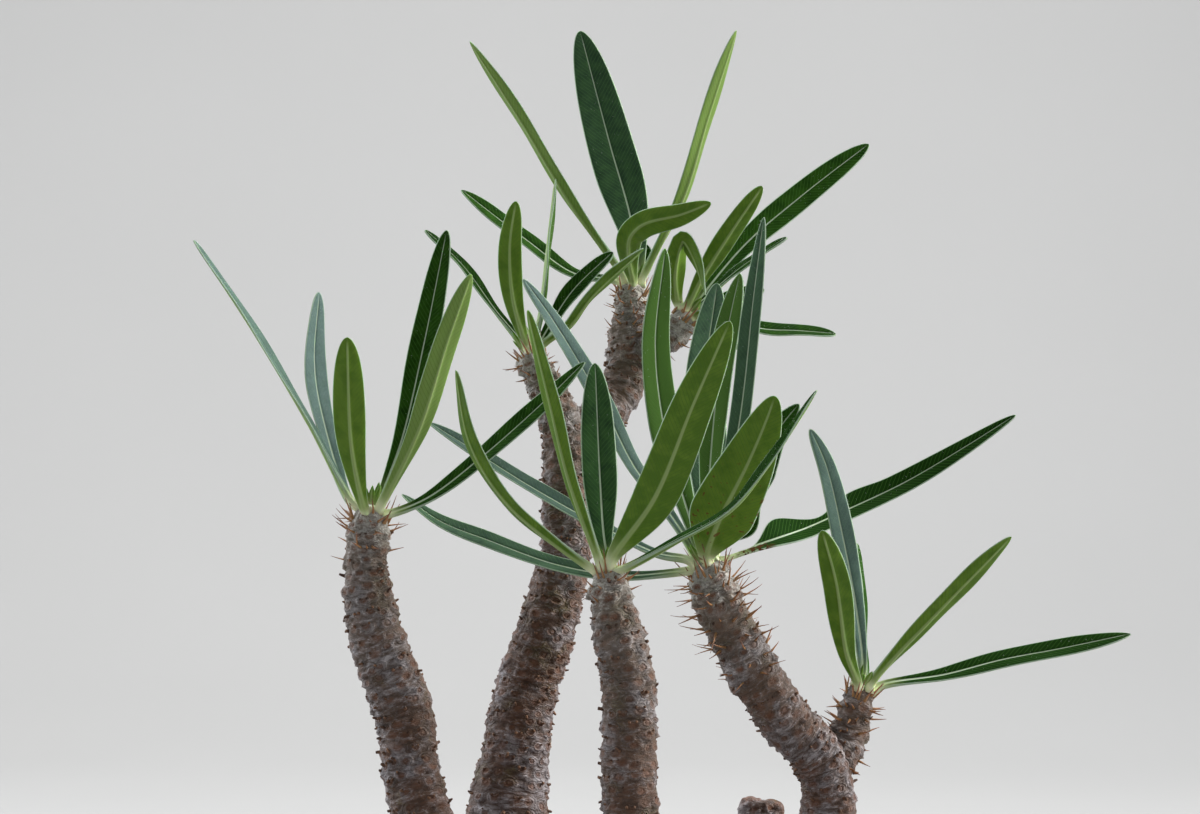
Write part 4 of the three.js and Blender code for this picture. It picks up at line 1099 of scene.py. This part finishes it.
def paint_over_faces(crown):
    """Gives the faces whose corners lie mostly on an upper face the upper finish."""
    mesh = crown.data
    mesh.materials.append(leaf_over.material)
    upper = np.empty(len(mesh.vertices), np.float32)
    mesh.attributes["upper"].data.foreach_get("value", upper)
    corner = np.empty(len(mesh.loops), np.int32)
    mesh.loops.foreach_get("vertex_index", corner)
    first = np.empty(len(mesh.polygons), np.int32)
    mesh.polygons.foreach_get("loop_start", first)
    share = np.add.reduceat(upper[corner], first) / np.diff(first, append=len(corner))
    mesh.polygons.foreach_set("material_index", (share > 0.45).astype(np.int32))
    mesh.update()


def shoot_shape(name):
    """The shoot tip under a crown: rings that narrow to a low dome on the branch's end."""
    point, radius, along, side, deep = branch_end(name)
    radius = radius * SHOOT_SHARE
    phi = np.linspace(0, np.pi / 2, 14)[:-1, None]
    theta = whole_turn(48)
    wide = radius * np.cos(phi) * (1 + 0.05 * np.sin(5 * theta + 1))
    rise = SHOOT_FOOT + SHOOT_RISE * radius * np.sin(phi)
    skin = point + turned(side, deep, theta) * wide[..., None] + along * rise[..., None]
    skin = np.concatenate([skin[:1] - along * 0.2 * MM, skin])
    return tube_shapes(
        skin[None], **PLAIN, across=3, distance=1, edge=2, rib=0.2, stalk=0.8, share=0,
    )


class LeafLook(Look):
    """A finish for one face of the leaves. It reads the blade's own values: millimetres from
    the midrib, along the blade and from the margin, and shares of stalk and length."""

    def __init__(self, name, **constants):
        super().__init__(name, **constants)
        self.shader.inputs["Subsurface Radius"].default_value = (0.5, 1.0, 0.2)
        self.shader.inputs["Subsurface Scale"].default_value = 0.6 * MM
        self.across, self.edge, self.share, self.stalk, tone = (
            self.value(key) for key in ("across", "edge", "share", "stalk", "tone")
        )
        # pale: painted light, the glow of light shining through the leaves whose tone value is set high
        self.pale = tone.step(1.0, 3.0)
        self.mottle = self.noise(self.place(), 2.6 * MM, detail=3)
        self.hairs = self.noise(self.place(), 0.14 * MM, detail=2, roughness=0.6)
        # shade: lighter green from the random mottle and the leaf's tone value, which is random where
        # it is not given; where it is given high this is painted light, and where given low painted
        # shade
        self.shade = (self.mottle + tone * 0.12).step(0.3, 0.7)
        slant = self.value("distance") - abs(self.across) * VEIN_SLANT + (self.mottle - 0.5) * 0.5
        self.vein = (slant * (2 * np.pi / VEIN_PITCH)).sine().step(0.84, 1.0)
        self.fine = (slant * (6 * np.pi / VEIN_PITCH) + self.mottle * 3).sine().step(0.3, 1.0)

    def midrib(self, width):
        """The midrib, as wide as that share of the mesh's own rib, faded at the tip."""
        line = (abs(self.across) / (self.value("rib") * width)).step(1.15, 0.55)
        return line * self.share.step(1.0, 0.93)

    def marked(self, blade):
        """Rusty spots on the lower half of one leaf, and a scorched stretch near the foot of
        another."""
        place = self.place()
        spots = self.noise(place, 1.3 * MM, detail=1).step(0.64, 0.70) * self.value("spots")
        burnt = self.noise(place, 0.9 * MM, detail=3).step(0.44, 0.52) * self.value("scorch")
        burnt = burnt * self.share.step(0.04, 0.08) * self.share.step(0.18, 0.14)
        return self.coats(
            blade,
            (spots * self.share.step(0.75, 0.4) * 0.8, (0.13, 0.045, 0.010)),
            (burnt * self.across.step(-0.2, 0.4), (0.07, 0.028, 0.010)),
        )


def young_shapes(name, seed):
    """Narrow young leaves, still folded, that stand close round the shoot tip: each a bent
    cone with an oval section, 2 to 5 mm long."""
    draw = np.random.default_rng(seed)
    point, radius, along, side, deep = branch_end(name)
    out = turned(side, deep, np.arange(YOUNG_LEAVES) * GOLDEN_ANGLE + draw.uniform(0, 6))
    flat = np.cross(along, out)
    size = draw.uniform(2.0, 5.0, (YOUNG_LEAVES, 1, 1)) * MM
    share = np.linspace(0, 0.995, 14)[None, :, None]
    root = point + along * radius * 0.75 + out * radius * 0.3
    way = unit(along + out * draw.uniform(0.15, 0.6, (YOUNG_LEAVES, 1)))
    middle = root[:, None] + way[:, None] * share * size - out[:, None] * share**2 * 0.3 * MM
    wide = YOUNG_WIDTH * (1 - share**1.6) ** 0.7 * (0.7 + 0.6 * np.sin(share * np.pi * 0.8))
    section = whole_turn(12)
    skin = (
        middle[:, :, None] + flat[:, None, None] * (wide * np.cos(section))[..., None]
        + out[:, None, None] * (0.42 * wide * np.sin(section))[..., None]
    )
    return tube_shapes(
        skin, **PLAIN, across=np.cos(section) * 0.6, distance=share * 4, edge=1, rib=0.2,
        stalk=0.75 - 0.6 * share, share=0.5,
    )


def hair_shapes(foot, lean, length):
    """Three-sided cones."""
    side = unit(np.cross(lean, ASKEW))
    ring = turned(side[:, None], np.cross(lean, side)[:, None], whole_turn(3))
    tips = foot + lean * length[:, None]
    places = np.concatenate([foot[:, None] + HAIR_FOOT * ring, tips[:, None]], axis=1)
    own = np.array([[0, 1, 3], [1, 2, 3], [2, 0, 3], [0, 2, 1]])
    triangles = (own[None] + np.arange(len(foot))[:, None, None] * 4).reshape(-1, 3)
    return places.reshape(-1, 3), np.zeros((0, 4), int), triangles, {}


def hair_look():
    """Dry white hairs."""
    look = Look("leaf_hair", roughness=0.7)
    cloud = look.noise(look.place(), 2 * MM)
    return look.finish(look.coats((0.46, 0.52, 0.46), (cloud, (0.70, 0.74, 0.70))))


def leaf_over_look():
    """Upper face: dark green between slanting lighter veins, with a pale midrib and margin and
    a whitish stalk; some leaves get a painted blue-grey sheen of their hairs, and a few a
    painted glow of light shining through them."""
    look = LeafLook(
        "leaf_over", specular_ior_level=0.02, subsurface_weight=0.12, sheen_weight=0.01,
        sheen_roughness=0.35, sheen_tint=(0.66, 0.80, 0.86, 1),
    )
    # painted sheen: the blue-grey that the hairs show in a grazing light, painted into the colour of
    # some leaves
    hoary = look.value("hoary") * (0.60 + 0.8 * (look.hairs - 0.5) + 0.35 * (look.mottle - 0.5))
    blade = look.coats(
        (0.009, 0.036, 0.003),
        (look.shade, (0.024, 0.076, 0.007)),
        # painted light: the glow of light shining through backlit leaves
        (look.pale, (0.098, 0.190, 0.044)),
        (look.fine * 0.35, (0.008, 0.034, 0.003)),
        (look.vein * 0.6, (0.060, 0.165, 0.030)),
        (look.hairs.step(0.62, 0.80) * 0.12, (0.22, 0.34, 0.22)),
        # painted sheen of the hairs
        (hoary, (0.190, 0.275, 0.262)),
        (look.midrib(0.38) * 0.92, (0.52, 0.62, 0.46)),
        (look.edge.step(0.27, 0.12) * 0.75, (0.44, 0.56, 0.42)),
        (look.stalk.step(0.25, 0.95) * 0.85, (0.36, 0.44, 0.18)),
        (look.stalk.step(0.60, 0.92) * 0.85, (0.76, 0.81, 0.54)),
    )
    relief = look.hairs * 0.3 - look.vein * 0.5 - look.fine * 0.12
    return look.finish(look.marked(blade), 0.60 + look.hairs * 0.2, relief, 0.06 * MM, 0.7)


def leaf_under_look():
    """Under face: smooth yellow-green with faint darker veins and a broad pale midrib, and a
    painted glow of light shining through the backlit leaves.
    """
    look = LeafLook(
        "leaf_under", specular_ior_level=0.16, subsurface_weight=0.34, sheen_weight=0.02,
        sheen_roughness=0.4,
    )
    blade = look.coats(
        (0.078, 0.160, 0.011),
        (look.shade, (0.122, 0.225, 0.020)),
        # painted light: the glow of light shining through backlit leaves
        (look.pale, (0.210, 0.315, 0.090)),
        (look.vein * (0.9 * look.mottle), (0.040, 0.100, 0.007)),
        (look.hairs.step(0.68, 0.84) * 0.08, (0.40, 0.48, 0.25)),
        (look.midrib(0.92) * 0.85, (0.29, 0.385, 0.145)),
        (look.edge.step(0.20, 0.06) * 0.5, (0.36, 0.47, 0.24)),
        (look.stalk.step(0.25, 0.9) * 0.8, (0.37, 0.45, 0.19)),
        (look.stalk.step(0.60, 0.92) * 0.9, (0.80, 0.84, 0.56)),
    )
    relief = look.vein * 0.5 + look.hairs * 0.1
    return look.finish(look.marked(blade), 0.42 + look.hairs * 0.1, relief, 0.07 * MM, 0.8)


leaf_over, leaf_under, leaf_hair = leaf_over_look(), leaf_under_look(), hair_look()
for order, (name, leaves) in enumerate(CROWNS.items()):
    end, radius, along, _, _ = branch_end(name)
    grown_leaves = []
    for i, leaf in enumerate(leaves):
        apart = from_front(leaf["line"])[0][0] - end
        apart = unit(apart - along * (apart @ along))
        root = end + along * LEAF_ROOT * radius + apart * LEAF_SPREAD * radius
        grown_leaves.append(leaf_shape(root, leaf, 100 * order + i))
    blades = [shoot_shape(name), young_shapes(name, 40 + order)] + [b for b, _ in grown_leaves]
    feet, leans = (np.concatenate([hairs[i] for _, hairs in grown_leaves]) for i in (0, 1))
    sizes = np.random.default_rng(300 + order).uniform(0.2, 0.5, len(feet)) * MM
    node = LEAF_NODES[name]
    paint_over_faces(make_piece(node + "_blades", joined(blades), leaf_under, [node]))
    make_piece(node + "_hairs", hair_shapes(feet, leans, sizes), leaf_hair, [node])


# Pot
# Thrown from dark clay and fired without a glaze, with a rolled rim, faint rings from the
# maker's fingers, a flat base and four drainage holes.
POT_PROFILE = [  # rows of radius and height in millimetres: under the base, up the wall and in
    (0.4, 0), (44, 0), (46, 0), (48.2, 1.4), (49, 4), (53.5, 23), (58, 42), (62.2, 59.5),
    (66.1, 75.5), (66.5, 77), (69.2, 78.2), (70.8, 81), (70.8, 84.5), (69.2, 87.4), (66.5, 88.5),
    (64.2, 87.2), (63.4, 84.6), (62.5, 80), (58.4, 62), (54.2, 44), (49.9, 27.5), (45.5, 11),
    (43, 7.2), (40, 5.5), (38, 5.5), (0.4, 5.5),
]
POT_SIDES = 132
FINGER_RING = 0.13 * MM   # height of the finger rings
FINGER_PITCH = 5.2 * MM   # from one ring to the next
FINGER_DRIFT = 23 * MM    # over which that changes
DRAIN_RADIUS = 4.5 * MM
DRAIN_CIRCLE = 24 * MM
DRAIN_HOLES = 4
DRILL_ENDS = np.array([-4, 12]) * MM   # heights of a drill's two ends


def pot_shape():
    """The profile turned round the axis, with shallow finger rings on the outer wall: a sine
    along the height with a slow drift, faded out at the base and under the rim."""
    rows = np.array(POT_PROFILE) * MM
    flat = np.hstack([rows, np.zeros((len(rows), 1))])
    lengths, line, _ = curve_through(flat, flat[:, 2:], count=4000)
    wanted = np.linspace(0, lengths[-1], 200)
    radius, height, _ = np.maximum(at_lengths(lengths, line, wanted), 0).T
    outer = wanted < lengths[-1] * 0.44
    fade = np.clip((height - 6 * MM) / (8 * MM), 0, 1) * np.clip((74 * MM - height) / (6 * MM), 0, 1)
    drift = 2 * np.sin(height / FINGER_DRIFT)
    rings = FINGER_RING * np.sin(height / FINGER_PITCH * 2 * np.pi + drift)
    radius = radius + np.where(outer, rings * fade, 0)
    return tube_shapes(round_axis(radius[:, None], whole_turn(POT_SIDES), height[:, None])[None])


def pot_look():
    """Dark unglazed clay: a brown-grey body with fine sand, paler where the rim and the foot
    are rubbed, and a faint bloom of lime low on the wall."""
    look = Look("pot_clay", specular_ior_level=0.3)
    place = look.place()
    cloud = look.noise(place, 24 * MM, detail=4)
    sand = look.noise(place, 0.7 * MM, detail=4, roughness=0.7)
    speck = look.noise(place, 0.9 * MM, detail=1)
    height = look.node("ShaderNodeSeparateXYZ", {}, {"Vector": place}, out="Z")
    rubbed = height.step(84 * MM, 88 * MM).largest(height.step(3.5 * MM, 0.5 * MM))
    bloom = cloud.step(0.52, 0.68) * height.step(34 * MM, 6 * MM) * sand.step(0.35, 0.6)
    body = look.coats(
        (0.040, 0.036, 0.033),
        (cloud.step(0.35, 0.7), (0.072, 0.064, 0.057)),
        (speck.step(0.68, 0.74) * 0.6, (0.17, 0.14, 0.115)),
        (rubbed * sand.step(0.4, 0.65) * 0.5, (0.19, 0.165, 0.14)),
        (bloom * 0.32, (0.33, 0.31, 0.28)),
    )
    return look.finish(body, 0.66 + 0.22 * sand, sand + cloud * 0.4, 0.12 * MM, 0.6)


pot = make_piece("pot_body", pot_shape(), pot_look(), ["pot"])
middles = round_axis(DRAIN_CIRCLE, whole_turn(DRAIN_HOLES) + np.pi / DRAIN_HOLES, 0)
drills = round_axis(DRAIN_RADIUS, whole_turn(40), DRILL_ENDS[:, None])
places, quads, triangles = tubes(middles[:, None, None] + drills)
drill_mesh = bpy.data.meshes.new("drills")
drill_mesh.from_pydata(places.tolist(), [], quads.tolist() + triangles.tolist())
drill = bpy.data.objects.new("drills", drill_mesh)
bpy.context.scene.collection.objects.link(drill)
holes = pot.modifiers.new("holes", "BOOLEAN")
holes.operation = "DIFFERENCE"
holes.solver = "EXACT"
holes.object = drill
drilled = bpy.data.meshes.new_from_object(pot.evaluated_get(bpy.context.evaluated_depsgraph_get()))
pot.modifiers.clear()
pot.data = drilled
bpy.data.objects.remove(drill)


# Soil
# A gritty mix that water runs through: fine dark bark and loam, with a top layer of pumice,
# red lava and fired clay grains.
SOIL_RELIEF = 1.1 * MM
SOIL_WALL = 0.4 * MM      # clear of the pot's inside
SOIL_BASE = 6 * MM        # height of the mix's underside
GRAIN_COUNT = 1900
GRAIN_SIDES = 6
SOIL_HOLE = 40 * MM       # radius of the hole that the root stands in
ROOT_SPACE = 43.4 * MM    # radius of the stem at the mix's top, which the grains keep clear of


def soil_height(x, y):
    """Uneven top of the mix: its level plus noise."""
    flat = np.stack([x, y, np.zeros_like(x)], axis=-1)
    return SOIL_LEVEL + SOIL_RELIEF * (0.75 * rough(flat, 12 * MM, 31) + 0.35 * rough(flat, 3 * MM, 32))


def pot_inside(height):
    """Radius of the pot's inside at a height."""
    inside = np.array(POT_PROFILE[17:-2][::-1]) * MM
    return np.interp(height, inside[:, 1], inside[:, 0])


def soil_shape():
    """Rings from the bottom's middle up the pot's inside, then over the uneven top to the root
    and down to a floor inside it."""
    heights = np.linspace(SOIL_BASE, 81.5 * MM, 24)
    rim = pot_inside(SOIL_LEVEL) - SOIL_WALL
    radius, level = np.concatenate([
        [np.linspace(2 * MM, 38 * MM, 6), np.full(6, SOIL_BASE)],
        [pot_inside(heights) - SOIL_WALL, heights],
        [SOIL_HOLE + (rim - SOIL_HOLE) * np.linspace(1, 0, 44), np.full(44, SOIL_LEVEL)],
        [[30 * MM, 15 * MM, 2 * MM], np.full(3, 60 * MM)],
    ], axis=1)[..., None]
    skin = round_axis(radius, whole_turn(150), level)
    top = level[:, 0] == SOIL_LEVEL
    skin[top, :, 2] = soil_height(skin[top, :, 0], skin[top, :, 1])
    return tube_shapes(skin[None], kind=0.5)


def grain_shapes(draw):
    """Angular pebbles: three rings of six points on a ball and its two ends, stretched, turned
    and dented at random, and sunk a little into the top of the mix."""
    v = np.array([-0.72, 0, 0.72])[:, None]
    ball = round_axis(np.sqrt(1 - v**2), whole_turn(GRAIN_SIDES), v)
    size = draw.gamma(6, 0.19, GRAIN_COUNT) * MM
    stretch = draw.uniform(0.65, 1.2, (GRAIN_COUNT, 1, 1, 3))
    dents = 1 + draw.normal(0, 0.13, (GRAIN_COUNT, len(v), GRAIN_SIDES, 1))
    points = ball[None] * stretch * dents * size[:, None, None, None]
    turns, _ = np.linalg.qr(draw.normal(size=(GRAIN_COUNT, 3, 3)))
    turns *= np.linalg.det(turns)[:, None, None]
    points = np.einsum("nrcj,nkj->nrck", points, turns)
    angle = draw.uniform(0, 2 * np.pi, GRAIN_COUNT)
    inner = ROOT_SPACE * stem_swell(angle) + size * 0.6
    outer = pot_inside(SOIL_LEVEL) - size * 1.15 - SOIL_WALL
    middle = round_axis(np.sqrt(draw.uniform(inner**2, outer**2)), angle, 0)
    middle[:, 2] = soil_height(*middle[:, :2].T) + size * draw.uniform(0.05, 0.55, GRAIN_COUNT)
    kind = draw.random((GRAIN_COUNT, 1, 1))
    return tube_shapes(points + middle[:, None, None], kind=kind)


def soil_look():
    """Each grain has its own number, which picks loam, lava, fired clay or pumice."""
    look = Look("soil_mix", specular_ior_level=0.2)
    grit = look.noise(look.place(), 0.8 * MM, detail=4, roughness=0.7)
    stops = [
        (0.0, (0.075, 0.034, 0.024)), (0.28, (0.110, 0.048, 0.032)), (0.34, (0.20, 0.125, 0.075)),
        (0.48, (0.060, 0.044, 0.032)), (0.58, (0.27, 0.18, 0.11)), (0.76, (0.34, 0.25, 0.16)),
        (0.82, (0.46, 0.43, 0.37)), (1.0, (0.58, 0.55, 0.49)),
    ]
    color = look.coats(
        look.node("ShaderNodeValToRGB", {"stops": stops}, {"Fac": look.value("kind")}),
        (grit.step(0.45, 0.75) * 0.4, (0.34, 0.25, 0.17)),
        (grit.step(0.45, 0.25) * 0.6, (0.045, 0.03, 0.02)),
    )
    return look.finish(color, 0.85 + 0.1 * grit, grit, 0.3 * MM, 0.8)


soil_mix = soil_look()
make_piece("soil_bed", soil_shape(), soil_mix, ["soil"])
make_piece("soil_grains", grain_shapes(np.random.default_rng(5)), soil_mix, ["soil"])


# Studio
# A pale paper floor that curves up behind the plant, two soft lights behind it and to its sides,
# each through a grid, a soft one in front, and one that lights the paper.
def sweep_shape():
    """A floor that runs back, turns up in a quarter circle and goes on as a wall."""
    width, front, back, bend, top = 14.0, -7.0, 1.6, 0.8, 3.0
    arc = np.linspace(0, np.pi / 2, 24)
    y = np.concatenate([[front, back - 0.5], back + bend * np.sin(arc), [back + bend]])
    z = np.concatenate([[0, 0], bend * (1 - np.cos(arc)), [top]])
    places = np.stack([np.stack([np.full(len(y), x), y, z], axis=1) for x in (-width / 2, width / 2)])
    k = np.arange(len(y) - 1)
    quads = np.stack([k, k + len(y), k + len(y) + 1, k + 1], axis=1)
    return places.reshape(-1, 3), quads


def paper_look():
    """Pale grey paper with faint wide clouds."""
    look = Look("floor_paper", roughness=0.9)
    cloud = look.noise(look.place(), 0.4, detail=2)
    return look.finish(look.coats((0.36, 0.36, 0.357), (cloud, (0.385, 0.385, 0.382))))


sweep_places, sweep_quads = sweep_shape()
sweep_mesh = bpy.data.meshes.new("floor")
sweep_mesh.from_pydata(sweep_places.tolist(), [], sweep_quads.tolist())
sweep_mesh.shade_smooth()
sweep_mesh.materials.append(paper_look().material)
floor = bpy.data.objects.new("floor", sweep_mesh)
bpy.context.scene.collection.objects.link(floor)


def soft_light(name, place, target, size, power, color, spread=180):
    """A square soft light at a place that looks at its target, and shines that wide a cone in
    degrees, as through a grid."""
    data = bpy.data.lights.new(name, "AREA")
    data.shape = "SQUARE"
    data.spread = np.radians(spread)
    data.size = size
    data.energy = power
    data.color = color
    light = bpy.data.objects.new(name, data)
    back = unit(np.array(place, float) - np.array(target, float))
    side = unit(np.cross([0, 0, 1.0], back))
    turned_to = np.eye(4)
    turned_to[:3] = np.stack([side, np.cross(back, side), back, place], axis=1)
    light.matrix_world = turned_to.T.tolist()
    bpy.context.scene.collection.objects.link(light)


PLANT_MIDDLE = (0, 0, 0.22)
soft_light(
    "key_light", place=(1.76, 0.32, 1.02), target=PLANT_MIDDLE, size=1.0, power=22.0,
    color=(1.0, 0.985, 0.96), spread=100,
)
soft_light(
    "left_light", place=(-1.56, 0.80, 0.78), target=PLANT_MIDDLE, size=1.4, power=13.5,
    color=(0.90, 0.95, 1.0), spread=100,
)
soft_light(
    "front_light", place=(0.2, -2.4, 1.4), target=PLANT_MIDDLE, size=1.8, power=9.0,
    color=(0.97, 0.985, 1.0),
)
soft_light(
    "backdrop_light", place=(0, 1.1, 2.3), target=(0, 2.4, 0.45), size=1.6, power=84.0,
    color=(1.0, 1.0, 1.0),
)
world = bpy.data.worlds.new("studio")
world.use_nodes = True
sky = world.node_tree.nodes["Background"]
sky.inputs["Color"].default_value = (0.93, 0.95, 1.0, 1)
sky.inputs["Strength"].default_value = 0.28
bpy.context.scene.world = world
bpy.context.scene.view_settings.view_transform = "Standard"
